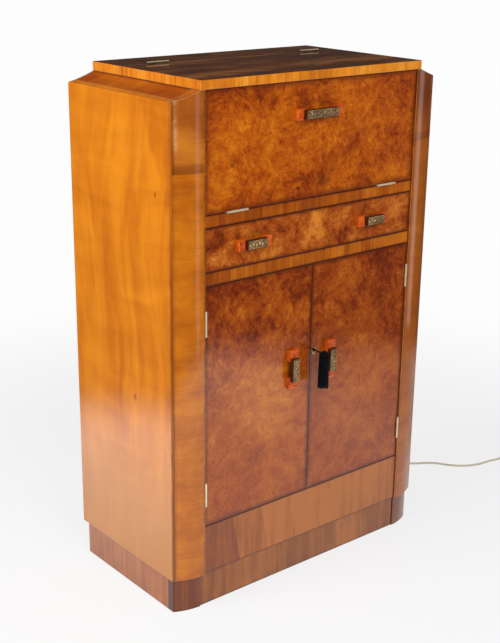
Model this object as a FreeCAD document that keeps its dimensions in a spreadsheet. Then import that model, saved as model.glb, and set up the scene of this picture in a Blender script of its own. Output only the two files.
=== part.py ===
import FreeCAD, Part
import math
import os
import types

import Sketcher

# Bar cabinet with canted, bow-fronted corners: a lid and a fall front over a bar
# compartment, one drawer, and a cupboard with two doors on a recessed plinth.
# Left and right are the viewer's. The sketches stand in a frame whose y is zero at
# the front edge of the top, and every piece is then moved back so that the origin
# lies under the middle of the whole cabinet, tassel included. Lengths are in mm.

os.makedirs("parts", exist_ok=True)
doc = FreeCAD.newDocument("bar_cabinet")
sheet = doc.addObject("Spreadsheet::Sheet", "Sizes")
V = FreeCAD.Vector

sizes = {
    # carcass
    "cabinet_height": 1270,
    "body_width": 814,
    "cabinet_depth": 420,
    "back_setback": 2,
    "corner_width": 81,
    "slab_thickness": 21.3,
    "lid_depth": 296,
    "lid_seat": 0.3,
    "side_thickness": 18,
    "inner_thickness": 11,
    "post_depth": 30,
    "post_lap": 7,
    "bow_rise": 23.02,
    "quirk_width": 1.2,
    "quirk_depth": 1.5,
    "shoulder_radius": 380,
    "shoulder_drop": 22,
    "shoulder_thickness": 25,
    "arris_radius": 4,
    "slab_arris": 1,
    "back_thickness": 6,
    "overrun": 40,
    # plinth
    "plinth_height": 90,
    "plinth_inset": 7,
    "plinth_thickness": 18,
    "plinth_setback": 14,
    "plinth_bow_setback": 11,
    "plinth_block_depth": 50,
    # rails and boards
    "front_setback": 4,
    "rail_thickness": 20,
    "bottom_rail_height": 127,
    "bar_opening_height": 273.1,
    "mid_rail_height": 31,
    "drawer_opening_height": 102,
    "bar_rail_height": 28.6,
    "bottom_thickness": 18,
    "board_thickness": 12,
    "shelf_thickness": 15,
    "shelf_height": 268,
    "shelf_setback": 45,
    "shelf_clearance": 0.5,
    "stud_radius": 3,
    "stud_length": 12,
    "stud_inset": 60,
    # doors and fall
    "door_thickness": 20,
    "fall_thickness": 18,
    "panel_gap": 1.4,
    "meeting_gap": 1.2,
    "fall_top_gap": 1.2,
    # drawer
    "drawer_wall": 12,
    "drawer_back_gap": 48,
    "drawer_side_drop": 12,
    "drawer_lap": 14,
    "drawer_bottom_thickness": 5,
    "drawer_bottom_lift": 7,
    "drawer_groove": 6,
    "drawer_running_gap": 0.3,
    "dovetail_rise": 4,
    # hinges
    "hinge_length": 60,
    "knuckle_radius": 2.4,
    "pin_radius": 0.9,
    "pin_clearance": 0.06,
    "leaf_thickness": 1,
    "leaf_width": 16,
    "hinge_stand": 3.4,
    "knuckle_gap": 0.3,
    "door_hinge_seat": 3.2,
    "panel_hinge_seat": 0.7,
    "door_hinge_upper": 57,
    "door_hinge_lower": 54,
    "fall_hinge_inset": 91,
    "lid_hinge_inset": 100,
    # fall stays
    "stay_radius": 190,
    "stay_half_width": 5,
    "stay_thickness": 2,
    "stay_inset": 11,
    "stay_foot": 44,
    "stop_radius": 2,
    "stop_length": 5.5,
    "keeper_inset": 15,
    "keeper_thickness": 2,
    "keeper_height": 28,
    "keeper_setback": 4,
    "keeper_flange": 11,
    "keeper_clearance": 0.5,
    "stay_slot_clearance": 3,
    # handles
    "block_length": 27.5,
    "block_height": 26,
    "block_depth": 10,
    "reed_width": 6.3,
    "reed_radius": 4,
    "handle_bar_depth": 9,
    "handle_bar_height": 22,
    "handle_strip_height": 20,
    "handle_strip_rise": 1.2,
    "long_handle": 140,
    "short_handle": 98,
    "bar_end_inset": 20.5,
    "fall_handle_drop": 73.8,
    "drawer_handle_inset": 138,
    "door_handle_place": 61,
    "door_handle_drop": 254,
    # lock, key and tassel
    "key_place": 11,
    "key_drop": 222,
    "key_radius": 2.2,
    "key_hole_radius": 3,
    "key_bow_radius": 5,
    "key_bow_wire": 1.4,
    "key_reach": 34,
    "key_tail": 8,
    "key_bit": 6,
    "key_bit_thickness": 1.6,
    "escutcheon_width": 13,
    "escutcheon_height": 20,
    "escutcheon_thickness": 1,
    "escutcheon_drop": 4,
    "lock_inset": 2,
    "lock_width": 46,
    "lock_height": 50,
    "lock_depth": 12,
    "lock_wall": 1.5,
    "lock_rise": 20,
    "bolt_length": 30,
    "bolt_height": 8,
    "bolt_thickness": 4,
    "bolt_lift": 7,
    "bolt_clearance": 0.4,
    "tassel_top_radius": 9,
    "tassel_radius": 11,
    "tassel_drop": 89,
    "tassel_rise": 8.5,
    "tassel_hollow": 7,
    "tassel_bore": 3,
    # bolt of the left door
    "slide_width": 10,
    "slide_length": 44,
    "slide_thickness": 3,
    "slide_plate_width": 22,
    "slide_plate_length": 34,
    "slide_plate_thickness": 1.2,
    "slide_inset": 28,
    "slide_knob_radius": 4,
    "slide_knob_length": 9,
    "slide_drop": 3,
    # mirrors
    "mirror_thickness": 4,
    "mirror_drop": 61.1,
    "mirror_front": 38,
    # lamp
    "lamp_length": 284,
    "lamp_radius": 13,
    "lamp_cap_radius": 14,
    "lamp_cap_length": 12,
    "lamp_drop": 34,
    "lamp_stand": 44,
    "lamp_base_depth": 24,
    "lamp_base_height": 36,
    "lamp_arm_width": 14,
    "lamp_arm_height": 32,
    "toggle_barrel_radius": 4.2,
    "toggle_width": 6,
    "toggle_clearance": 0.4,
    "toggle_length": 13,
    "toggle_tip_radius": 2,
    "toggle_depth": 1,
    # flex
    "cord_diameter": 6,
    "cord_inset": 28,
    "cord_height": 150,
    "grommet_radius": 8,
    "grommet_neck_radius": 5.5,
    "grommet_flange": 3,
    "relief_length": 25,
    "lead_diameter": 5,
    "lead_stand": 16,
    "lead_bend": 12,
    "lead_notch": 14,
    "clip_size": 9,
    "coil_radius": 40,
    "coil_pitch": 6.6,
    "coil_layer": 6.6,
    "plug_length": 46,
    "plug_width": 44,
    "plug_nose": 20,
    "plug_relief": 22,
    "plug_relief_radius": 5.5,
    "plug_pin_length": 19,
    "plug_pin_thickness": 4,
    "plug_pin_width": 7,
    "plug_pin_spread": 11,
    "plug_pin_reach": 22,
    "plug_corner": 4,
}

toggle_rest_angle = 12
cord_sides = 8
clip_shares = (0.2, 0.5, 0.8)
hollow_flat_share = 0.42
coil_half_turns_in = 3


class Size:
    # A length that is known both as a number and as a formula of the sheet's cells.
    def __init__(self, number, text):
        self.number = number
        self.text = text

    def join(self, sign, other, number):
        return Size(number, f"({self.text} {sign} {other.text})")

    def __add__(self, other):
        other = as_size(other)
        return self.join("+", other, self.number + other.number)

    def __sub__(self, other):
        other = as_size(other)
        return self.join("-", other, self.number - other.number)

    def __mul__(self, other):
        other = as_size(other)
        return self.join("*", other, self.number * other.number)

    def __truediv__(self, other):
        other = as_size(other)
        return self.join("/", other, self.number / other.number)

    def __radd__(self, other):
        return as_size(other) + self

    def __rsub__(self, other):
        return as_size(other) - self

    def __rmul__(self, other):
        return as_size(other) * self

    def __neg__(self):
        return Size(-self.number, f"(0 - {self.text})")

    def __float__(self):
        return float(self.number)


def as_size(thing):
    return thing if isinstance(thing, Size) else Size(float(thing), repr(float(thing)))


def root(size):
    return Size(math.sqrt(size.number), f"sqrt({size.text})")


s = types.SimpleNamespace()
for row, (word, number) in enumerate(sizes.items(), 1):
    sheet.set(f"A{row}", word)
    sheet.set(f"B{row}", str(number))
    sheet.setAlias(f"B{row}", word)
    setattr(s, word, Size(float(number), f"Sizes.{word}"))
doc.recompute()

# Places that several pieces share, worked out from the driving sizes.
outer = s.body_width / 2
half = outer - s.corner_width
slab_half = half + s.inner_thickness
side_inner = outer - s.side_thickness
lap_edge = outer - s.post_lap
rear = s.cabinet_depth - s.back_setback
back_face = rear - s.back_thickness
face = s.front_setback
rail_back = face + s.rail_thickness
top = s.cabinet_height
slab_under = top - s.slab_thickness
door_bottom = s.plinth_height + s.bottom_rail_height
fall_seat = slab_under - s.bar_opening_height
drawer_high = fall_seat - s.bar_rail_height
drawer_low = drawer_high - s.drawer_opening_height
door_top = drawer_low - s.mid_rail_height
key_z = door_top - s.key_drop
cord_x = slab_half + s.cord_inset
bow_radius = (s.corner_width * s.corner_width + s.bow_rise * s.bow_rise) / (2 * s.bow_rise)
shoulder_run = outer - slab_half
shoulder_chord = root(shoulder_run * shoulder_run + s.shoulder_drop * s.shoulder_drop)
shoulder_sag = root(s.shoulder_radius * s.shoulder_radius - shoulder_chord * shoulder_chord / 4)
shoulder_x = slab_half + shoulder_run / 2 + shoulder_sag * s.shoulder_drop / shoulder_chord
shoulder_z = slab_under - s.shoulder_drop / 2 + shoulder_sag * shoulder_run / shoulder_chord
front_reach = s.key_reach + s.tassel_radius
front_y = (front_reach - s.cabinet_depth) / 2


def bow_at(x):
    # Depth of the bowed corner's face at a distance x from the middle.
    reach = x - half
    return bow_radius - root(bow_radius * bow_radius - reach * reach)


def shoulder_at(x):
    # Height of the sloping shoulder at a distance x from the middle.
    reach = x - shoulder_x
    return shoulder_z - root(s.shoulder_radius * s.shoulder_radius - reach * reach)


def bind(thing, **targets):
    for word, size in targets.items():
        thing.setExpression(word.replace("_at_", "."), as_size(size).text)


def place(thing, x, y, z, turn=None):
    x, y, z = as_size(x), as_size(y), as_size(z)
    thing.Placement = FreeCAD.Placement(V(x.number, y.number, z.number), turn or FreeCAD.Rotation())
    thing.setExpression(".Placement.Base.x", x.text)
    thing.setExpression(".Placement.Base.y", y.text)
    thing.setExpression(".Placement.Base.z", z.text)
    return thing


nodes = {}


def keep(name, thing):
    thing.Label = name
    nodes[name] = thing
    return thing


def box(name, x0, x1, y0, y1, z0, z1):
    # A plain board or block between two corners of the front frame.
    thing = doc.addObject("Part::Box", name)
    bind(thing, Length=x1 - x0, Width=y1 - y0, Height=z1 - z0)
    return place(thing, x0, y0 + front_y, z0)


def cylinder(name, radius, length, x, y, z, turn=None):
    thing = doc.addObject("Part::Cylinder", name)
    bind(thing, Radius=radius, Height=length)
    return place(thing, x, y + front_y, z, turn)


def taper(name, radius, tip_radius, length, x, y, z, turn=None):
    # Eight-sided moulding whose corners lie on one radius at its foot and another at its tip.
    polygon = doc.addObject("Part::RegularPolygon", name + "_outline")
    polygon.Polygon = cord_sides
    bind(polygon, Circumradius=radius)
    thing = doc.addObject("Part::Extrusion", name)
    thing.Base = polygon
    thing.DirMode = "Custom"
    thing.Dir = V(0, 0, 1)
    thing.Solid = True
    flat = math.cos(math.pi / cord_sides)
    bind(thing, LengthFwd=length)
    slope = (tip_radius - radius) * flat / length
    thing.TaperAngle = math.degrees(math.atan(slope.number))
    thing.setExpression("TaperAngle", f"atan({slope.text})")
    return place(thing, x, y + front_y, z, turn)


def fuse(name, parts):
    thing = doc.addObject("Part::MultiFuse", name)
    thing.Shapes = parts
    return thing


def cut(name, base, tool):
    thing = doc.addObject("Part::Cut", name)
    thing.Base = base
    thing.Tool = tool
    return thing


def group(name, parts):
    thing = doc.addObject("Part::Compound", name)
    thing.Links = parts
    return thing


along_x = FreeCAD.Rotation(V(0, 1, 0), 90)
along_y = FreeCAD.Rotation(V(1, 0, 0), -90)
towards_front = FreeCAD.Rotation(V(1, 0, 0), 90)


def new_body(name, x=0, y=None, z=0, turn=None):
    body = doc.addObject("PartDesign::Body", name)
    return place(body, x, front_y if y is None else y + front_y, z, turn)


def arc_middle(start, end, radius):
    # Middle point of the short arc from start to end; a positive radius has its
    # centre to the left of the way from start to end.
    chord = end.sub(start)
    reach = math.sqrt(radius * radius - chord.Length * chord.Length / 4)
    left = V(-chord.y, chord.x, 0).normalize()
    side = math.copysign(1, radius)
    centre = (start + end) * 0.5 + left * reach * side
    return centre - left * abs(radius) * side


def draw(body, role, points, start):
    # A closed outline on one of the body's own planes. Each point is (u, v), or
    # (u, v, radius) where the edge that begins there is an arc.
    sketch = body.newObject("Sketcher::SketchObject", "outline")
    plane = [item for item in body.Origin.OriginFeatures if item.Role == role][0]
    sketch.AttachmentSupport = [(plane, "")]
    sketch.MapMode = "FlatFace"
    offset = as_size(start) if role != "XZ_Plane" else -as_size(start)
    sketch.AttachmentOffset = FreeCAD.Placement(V(0, 0, offset.number), FreeCAD.Rotation())
    sketch.setExpression(".AttachmentOffset.Base.z", offset.text)
    points = [tuple(as_size(part) for part in point) for point in points]
    count = len(points)
    spots = [V(point[0].number, point[1].number, 0) for point in points]
    first_ends = []
    last_ends = []
    for index, point in enumerate(points):
        begin = spots[index]
        end = spots[(index + 1) % count]
        if len(point) == 3:
            middle = arc_middle(begin, end, point[2].number)
            edge = sketch.addGeometry(Part.Arc(begin, middle, end), False)
        else:
            edge = sketch.addGeometry(Part.LineSegment(begin, end), False)
        forward = sketch.getPoint(edge, 1).distanceToPoint(begin) < sketch.getPoint(edge, 2).distanceToPoint(begin)
        first_ends.append((edge, 1 if forward else 2))
        last_ends.append((edge, 2 if forward else 1))
    for index, point in enumerate(points):
        edge, end = first_ends[index]
        before, before_end = last_ends[index - 1]
        sketch.addConstraint(Sketcher.Constraint("Coincident", before, before_end, edge, end))
        for kind, size, axis in (("DistanceX", point[0], -2), ("DistanceY", point[1], -1)):
            if size.number == 0:
                sketch.addConstraint(Sketcher.Constraint("PointOnObject", edge, end, axis))
            else:
                number = sketch.addConstraint(Sketcher.Constraint(kind, -1, 1, edge, end, size.number))
                sketch.setExpression(f"Constraints[{number}]", size.text)
        if len(point) == 3:
            number = sketch.addConstraint(Sketcher.Constraint("Radius", edge, abs(point[2].number)))
            sign = "" if point[2].number > 0 else "-"
            sketch.setExpression(f"Constraints[{number}]", sign + point[2].text)
    return sketch


def pad(body, role, points, start, length):
    # The outline swept from start, along the plane's row axis, by length.
    feature = body.newObject("PartDesign::Pad", "pad")
    feature.Profile = draw(body, role, points, start)
    feature.Reversed = role == "XZ_Plane"
    bind(feature, Length=length)
    return feature


def pocket(body, role, points, start, length):
    feature = body.newObject("PartDesign::Pocket", "pocket")
    feature.Profile = draw(body, role, points, start)
    feature.Reversed = role != "XZ_Plane"
    bind(feature, Length=length)
    return feature


def recess(body, x0, x1, y0, y1, z0, z1):
    feature = body.newObject("PartDesign::SubtractiveBox", "recess")
    bind(feature, Length=x1 - x0, Width=y1 - y0, Height=z1 - z0)
    return place(feature, x0, y0, z0)


def drill(body, radius, depth, x, y, z, turn):
    feature = body.newObject("PartDesign::SubtractiveCylinder", "bore")
    bind(feature, Radius=radius, Height=depth)
    return place(feature, x, y, z, turn)


def soften(body, radius, wanted):
    # Round the edges of the body's last feature whose middle and direction pass wanted.
    doc.recompute()
    base = body.Tip
    names = []
    for number, edge in enumerate(base.Shape.Edges, 1):
        middle = edge.valueAt((edge.FirstParameter + edge.LastParameter) / 2)
        way = edge.tangentAt((edge.FirstParameter + edge.LastParameter) / 2)
        if wanted(middle, way):
            names.append(f"Edge{number}")
    feature = body.newObject("PartDesign::Fillet", "arris")
    feature.Base = (base, names)
    bind(feature, Radius=radius)
    return feature


def rectangle(u0, u1, v0, v1):
    return [(u0, v0), (u1, v0), (u1, v1), (u0, v1)]


def near(first, second):
    return abs(float(first) - float(second)) < float(s.slab_arris) / 4


# Carcass sides, corner posts and shoulders

def cut_shoulder(body, hand):
    # Everything above the sloping shoulder comes off.
    beyond = outer + s.overrun
    outline = [
        (hand * slab_half, slab_under, hand * s.shoulder_radius),
        (hand * outer, shoulder_at(outer)),
        (hand * beyond, shoulder_at(outer)),
        (hand * beyond, top + s.overrun),
        (hand * slab_half, top + s.overrun),
    ]
    return pocket(body, "XZ_Plane", outline, -s.overrun, rear + 2 * s.overrun)


def side_panel(name, hand):
    # The panel laps over the corner post with a tongue that carries the bow on.
    body = new_body(name)
    edge = lap_edge + s.quirk_width
    outline = [
        (hand * lap_edge, bow_at(lap_edge) + s.quirk_depth),
        (hand * edge, bow_at(edge), hand * bow_radius),
        (hand * outer, bow_at(outer)),
        (hand * outer, rear),
        (hand * (side_inner + s.back_thickness), rear),
        (hand * (side_inner + s.back_thickness), back_face),
        (hand * side_inner, back_face),
        (hand * side_inner, s.post_depth),
        (hand * lap_edge, s.post_depth),
    ]
    pad(body, "XY_Plane", outline, s.plinth_height, slab_under - s.plinth_height)
    cut_shoulder(body, hand)
    corner = shoulder_at(outer)
    soften(body, s.arris_radius, lambda middle, way: near(middle.z, corner) and near(abs(middle.x), outer)
           and abs(way.y) > 0.9)
    return keep(name, body)


def pilaster(name, hand):
    body = new_body(name)
    edge = lap_edge - s.quirk_width
    outline = [
        (hand * half, 0, hand * bow_radius),
        (hand * edge, bow_at(edge)),
        (hand * lap_edge, bow_at(lap_edge) + s.quirk_depth),
        (hand * lap_edge, s.post_depth),
        (hand * half, s.post_depth),
    ]
    pad(body, "XY_Plane", outline, s.plinth_height, slab_under - s.plinth_height)
    cut_shoulder(body, hand)
    return keep(name, body)


def inner_side(name, hand):
    # Lines the compartments, and has a notch at the back for the lamp's lead.
    body = new_body(name)
    low, high = sorted((hand * half, hand * slab_half), key=float)
    pad(body, "XY_Plane", rectangle(low, high, s.post_depth, back_face), s.plinth_height,
        slab_under - s.plinth_height)
    if hand > 0:
        middle = slab_under - s.lamp_drop
        recess(body, low - s.overrun, high + s.overrun, back_face - s.lead_stand - s.lead_notch / 2,
               back_face + s.overrun, middle - s.lead_notch / 2, middle + s.lead_notch / 2)
    return keep(name, body)


def shoulder(name, hand):
    body = new_body(name)
    low = slab_under - s.shoulder_thickness
    outline = [
        (hand * slab_half, slab_under, hand * s.shoulder_radius),
        (hand * side_inner, shoulder_at(side_inner)),
        (hand * side_inner, low),
        (hand * slab_half, low),
    ]
    pad(body, "XZ_Plane", outline, s.post_depth, back_face - s.post_depth)
    return keep(name, body)


for word, hand in (("left", -1), ("right", 1)):
    side_panel(f"side_panel_{word}", hand)
    pilaster(f"pilaster_{word}", hand)
    inner_side(f"inner_side_{word}", hand)
    shoulder(f"shoulder_{word}", hand)


# Back, boards and rails

back_body = new_body("back_panel")
back_half = side_inner + s.back_thickness
back_outline = [
    (-back_half, s.plinth_height),
    (back_half, s.plinth_height),
    (back_half, shoulder_at(back_half), -s.shoulder_radius),
    (slab_half, slab_under),
    (-slab_half, slab_under, -s.shoulder_radius),
    (-back_half, shoulder_at(back_half)),
]
pad(back_body, "XZ_Plane", back_outline, back_face, s.back_thickness)
drill(back_body, s.grommet_neck_radius, s.back_thickness + 2 * s.overrun,
      cord_x, back_face - s.overrun, s.cord_height, along_y)
keep("back_panel", back_body)

keep("bottom_rail", box("bottom_rail", -half, half, face, rail_back, s.plinth_height, door_bottom))
keep("mid_rail", box("mid_rail", -half, half, face, rail_back, door_top, drawer_low))
keep("bar_rail", box("bar_rail", -half, half, face, rail_back, drawer_high, fall_seat))
keep("bottom_board", box("bottom_board", -half, half, rail_back, back_face,
                         door_bottom - s.bottom_thickness, door_bottom))
keep("dust_board", box("dust_board", -half, half, rail_back, back_face,
                       drawer_low - s.board_thickness, drawer_low))

shelf_top = door_bottom + s.shelf_height
shelf_half = half - s.shelf_clearance
shelf_board = box("cupboard_shelf", -shelf_half, shelf_half, s.shelf_setback, back_face - s.shelf_clearance,
                  shelf_top - s.shelf_thickness, shelf_top)
keep("cupboard_shelf", shelf_board)


# Plinth: bowed corner blocks, a front board, and sides and back in one frame

def plinth_block(hand):
    body = new_body("plinth_corner")
    start = half + s.plinth_inset
    end = outer - s.plinth_inset
    outline = [
        (hand * start, bow_at(start) + s.plinth_bow_setback, hand * bow_radius),
        (hand * end, bow_at(end) + s.plinth_bow_setback),
        (hand * end, s.plinth_block_depth),
        (hand * start, s.plinth_block_depth),
    ]
    pad(body, "XY_Plane", outline, 0, s.plinth_height)
    return body


block_edge = half + s.plinth_inset
plinth_outer = outer - s.plinth_inset
plinth_back = back_face - s.plinth_inset
keep("plinth_corners", group("plinth_corners", [plinth_block(-1), plinth_block(1)]))
keep("plinth_front", box("plinth_front", -block_edge, block_edge, s.plinth_setback,
                         s.plinth_setback + s.plinth_thickness, 0 * s.plinth_height, s.plinth_height))
plinth_body = new_body("plinth_frame")
frame_inner = plinth_outer - s.plinth_thickness
frame_outline = [
    (-plinth_outer, s.plinth_block_depth),
    (-frame_inner, s.plinth_block_depth),
    (-frame_inner, plinth_back - s.plinth_thickness),
    (frame_inner, plinth_back - s.plinth_thickness),
    (frame_inner, s.plinth_block_depth),
    (plinth_outer, s.plinth_block_depth),
    (plinth_outer, plinth_back),
    (-plinth_outer, plinth_back),
]
pad(plinth_body, "XY_Plane", frame_outline, 0, s.plinth_height)
keep("plinth_frame", plinth_body)


# Top: the fixed strip at the back and the lid in front of it

hinge_axis_z = top + s.hinge_stand
seam_back = s.lid_depth + s.panel_gap
hinge_half = s.hinge_length / 2
lid_hinge_x = slab_half - s.lid_hinge_inset
fall_hinge_x = half - s.fall_hinge_inset


def slab(name, y0, y1, z0, edges):
    body = new_body(name)
    pad(body, "XY_Plane", rectangle(-slab_half, slab_half, y0, y1), z0, top - z0)
    soften(body, s.slab_arris, lambda middle, way: near(middle.z, top) and edges(middle, way))
    return body


strip_body = slab("top_strip", seam_back, s.cabinet_depth, slab_under,
                  lambda middle, way: abs(way.y) > 0.9 or near(middle.y, s.cabinet_depth))
keep("top_strip", strip_body)
lid_body = slab("lid_panel", as_size(0), s.lid_depth, slab_under + s.lid_seat,
                lambda middle, way: abs(way.y) > 0.9 or near(middle.y, 0))
for hand in (-1, 1):
    middle = hand * lid_hinge_x
    recess(lid_body, middle - hinge_half, middle + hinge_half, s.lid_depth - s.leaf_thickness,
           s.lid_depth + s.overrun, hinge_axis_z - s.leaf_width, top + s.overrun)
keep("lid_panel", lid_body)


# Fall front

axis_y = face - s.hinge_stand
fall_axis_z = fall_seat + s.panel_hinge_seat
fall_bottom = fall_seat + s.panel_gap
fall_top = slab_under - s.fall_top_gap
fall_half = half - s.panel_gap
fall_back = face + s.fall_thickness
fall_body = new_body("fall_panel")
pad(fall_body, "XZ_Plane", rectangle(-fall_half, fall_half, fall_bottom, fall_top), face, s.fall_thickness)
for hand in (-1, 1):
    middle = hand * fall_hinge_x
    recess(fall_body, middle - hinge_half, middle + hinge_half, face - s.overrun, axis_y + s.leaf_width,
           fall_bottom - s.overrun, fall_bottom + s.leaf_thickness)
keep("fall_panel", fall_body)


# Doors

door_low = door_bottom + s.panel_gap
door_high = door_top - s.panel_gap
door_outer = half - s.panel_gap
door_inner = s.meeting_gap / 2
door_back = face + s.door_thickness
door_hinges = (door_bottom + s.door_hinge_lower, door_top - s.door_hinge_upper - s.hinge_length)


def door_panel(name, hand):
    body = new_body(name)
    low, high = sorted((hand * door_inner, hand * door_outer), key=float)
    pad(body, "XZ_Plane", rectangle(low, high, door_low, door_high), face, s.door_thickness)
    for height in door_hinges:
        edges = sorted((hand * (door_outer - s.leaf_thickness), hand * (door_outer + s.overrun)), key=float)
        recess(body, edges[0], edges[1], face - s.overrun, axis_y + s.leaf_width, height, height + s.hinge_length)
    if hand > 0:
        drill(body, s.key_hole_radius, s.door_thickness + 2 * s.overrun, s.key_place,
              face - s.overrun, key_z, along_y)
    return keep(name, body)


door_panel("door_left_panel", -1)
door_panel("door_right_panel", 1)


# Hinges. A half hinge stands with its pin along Z, its leaf reaching back along Y
# and its seat on the side of positive X. The pin is riveted into the fixed half.

def half_hinge(name, seat, moving):
    parts = []
    third = s.hinge_length / 3
    spans = [(third + s.knuckle_gap, 2 * third - s.knuckle_gap)] if moving else \
        [(as_size(0), third), (2 * third, s.hinge_length)]
    low = seat - s.panel_gap - s.leaf_thickness if moving else seat - s.leaf_thickness
    step = s.hinge_stand + s.knuckle_gap
    leaf = doc.addObject("Part::Box", "leaf")
    bind(leaf, Length=s.leaf_thickness, Width=s.leaf_width - step, Height=s.hinge_length)
    parts.append(place(leaf, low, step, 0))
    for bottom, peak in spans:
        tab = doc.addObject("Part::Box", "tab")
        bind(tab, Length=s.leaf_thickness, Width=step, Height=peak - bottom)
        parts.append(place(tab, low, 0, bottom))
        knuckle = doc.addObject("Part::Cylinder", "knuckle")
        bind(knuckle, Radius=s.knuckle_radius, Height=peak - bottom)
        parts.append(place(knuckle, 0, 0, bottom))
    pin = doc.addObject("Part::Cylinder", "pin")
    if not moving:
        bind(pin, Radius=s.pin_radius, Height=s.hinge_length)
        return fuse(name, parts + [pin])
    bind(pin, Radius=s.pin_radius + s.pin_clearance, Height=s.hinge_length)
    return cut(name, fuse("hinge_half", parts), pin)


def basis(x_way, y_way):
    # Rotation that carries local X and Y to the given row directions.
    z_way = x_way.cross(y_way)
    matrix = FreeCAD.Matrix(x_way.x, y_way.x, z_way.x, 0, x_way.y, y_way.y, z_way.y, 0,
                            x_way.z, y_way.z, z_way.z, 0, 0, 0, 0, 1)
    return FreeCAD.Placement(matrix).Rotation


def hinge_set(places, seat, turn):
    # Fixed half and moving half at each place.
    sets = []
    for x, y, z in places:
        pieces = (half_hinge("fixed_half", seat, False), half_hinge("moving_half", seat, True))
        sets.append([place(piece, x, y + front_y, z, turn) for piece in pieces])
    return sets


x_way, y_way, z_way = V(1, 0, 0), V(0, 1, 0), V(0, 0, 1)
fall_sets = hinge_set([(hand * fall_hinge_x - hinge_half, axis_y, fall_axis_z) for hand in (-1, 1)],
                      s.panel_hinge_seat, basis(-z_way, y_way))
lid_sets = hinge_set([(hand * lid_hinge_x + hinge_half, s.lid_depth + s.panel_gap - s.panel_hinge_seat,
                       hinge_axis_z) for hand in (-1, 1)], s.panel_hinge_seat, basis(y_way, -z_way))
left_sets = hinge_set([(s.door_hinge_seat - half, axis_y, height + s.hinge_length) for height in door_hinges],
                      s.door_hinge_seat, basis(-x_way, y_way))
right_sets = hinge_set([(half - s.door_hinge_seat, axis_y, height) for height in door_hinges],
                       s.door_hinge_seat, basis(x_way, y_way))
every_set = fall_sets + lid_sets + left_sets + right_sets
keep("carcass_hinge_leaves", group("carcass_hinge_leaves", [item[0] for item in every_set]))
keep("fall_hinge_leaves", group("fall_hinge_leaves", [item[1] for item in fall_sets]))
keep("lid_hinge_leaves", group("lid_hinge_leaves", [item[1] for item in lid_sets]))
keep("door_left_hinge_leaves", group("door_left_hinge_leaves", [item[1] for item in left_sets]))
keep("door_right_hinge_leaves", group("door_right_hinge_leaves", [item[1] for item in right_sets]))


# Fall stays: brass quadrants about the hinge line, which slide through keepers.
# A stop pin at the far end meets the keeper when the fall is level.

stay_x = half - s.stay_inset
stay_outer = s.stay_radius + s.stay_half_width
stay_inner = s.stay_radius - s.stay_half_width
foot_y = fall_back - axis_y
keeper_front = fall_back + s.keeper_setback
keeper_y = keeper_front + s.keeper_thickness - axis_y
stop_y = keeper_y + s.stop_radius + s.keeper_clearance
stop_drop = stop_y
end_drop = stop_drop + s.stop_radius + s.stay_half_width


def ring_height(radius, reach):
    return root(radius * radius - reach * reach)


def stay(hand):
    body = new_body("fall_stay", 0, axis_y, fall_axis_z)
    x0 = stay_x if hand > 0 else -stay_x - s.stay_thickness
    outline = [
        (foot_y, ring_height(stay_inner, foot_y), -stay_inner),
        (stay_inner, 0 * s.stay_radius, -stay_inner),
        (ring_height(stay_inner, end_drop), -end_drop),
        (ring_height(stay_outer, end_drop), -end_drop, stay_outer),
        (stay_outer, 0 * s.stay_radius, stay_outer),
        (foot_y, ring_height(stay_outer, foot_y)),
    ]
    pad(body, "YZ_Plane", outline, x0, s.stay_thickness)
    foot = body.newObject("PartDesign::AdditiveBox", "foot")
    bind(foot, Length=s.stay_foot / 4, Width=s.stay_thickness, Height=s.stay_foot)
    foot_x = x0 + s.stay_thickness - s.stay_foot / 4 if hand > 0 else x0
    place(foot, foot_x, foot_y, ring_height(s.stay_radius, foot_y) - s.stay_foot / 2)
    stop = body.newObject("PartDesign::AdditiveCylinder", "stop")
    bind(stop, Radius=s.stop_radius, Height=s.stop_length)
    stop_x = x0 + (s.stay_thickness - s.stop_length) / 2
    place(stop, stop_x, ring_height(s.stay_radius, stop_drop), -stop_drop, along_x)
    return body


def keeper(hand):
    # A slotted plate that stands out from a flange on the inner side.
    body = new_body("stay_keeper", 0, 0, 0)
    middle = fall_axis_z + ring_height(s.stay_radius, keeper_y - s.keeper_thickness / 2)
    low, high = middle - s.keeper_height / 2, middle + s.keeper_height / 2
    rim = s.keeper_thickness
    back = keeper_front + s.keeper_flange
    outline = [
        (hand * (half - s.keeper_inset), keeper_front),
        (hand * half, keeper_front),
        (hand * half, back),
        (hand * (half - rim), back),
        (hand * (half - rim), keeper_front + rim),
        (hand * (half - s.keeper_inset), keeper_front + rim),
    ]
    pad(body, "XY_Plane", outline, low, s.keeper_height)
    inner = stay_x - s.keeper_clearance
    edges = sorted((hand * inner, hand * (inner + s.stay_thickness + 2 * s.keeper_clearance)), key=float)
    reach = s.stay_half_width + 2 * s.keeper_clearance
    recess(body, edges[0], edges[1], keeper_front - s.overrun, keeper_front + rim + s.keeper_clearance,
           middle - reach, middle + reach)
    return body


keep("fall_stays", group("fall_stays", [stay(-1), stay(1)]))
keep("stay_keepers", group("stay_keepers", [keeper(-1), keeper(1)]))

floor_body = new_body("bar_floor")
pad(floor_body, "XY_Plane", rectangle(-half, half, rail_back, back_face), fall_seat - s.board_thickness,
    s.board_thickness)
for hand in (-1, 1):
    low = stay_x + s.stay_thickness / 2 - s.stop_length / 2 - s.stay_slot_clearance
    edges = sorted((hand * low, hand * half), key=float)
    recess(floor_body, edges[0], edges[1],
           axis_y + ring_height(stay_inner, end_drop) - s.stay_slot_clearance,
           axis_y + stay_outer + s.stay_slot_clearance,
           fall_seat - s.board_thickness - s.overrun, fall_seat + s.overrun)
keep("bar_floor", floor_body)


# Drawer. The sides run in lapped dovetails into the front and through the back.

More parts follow.
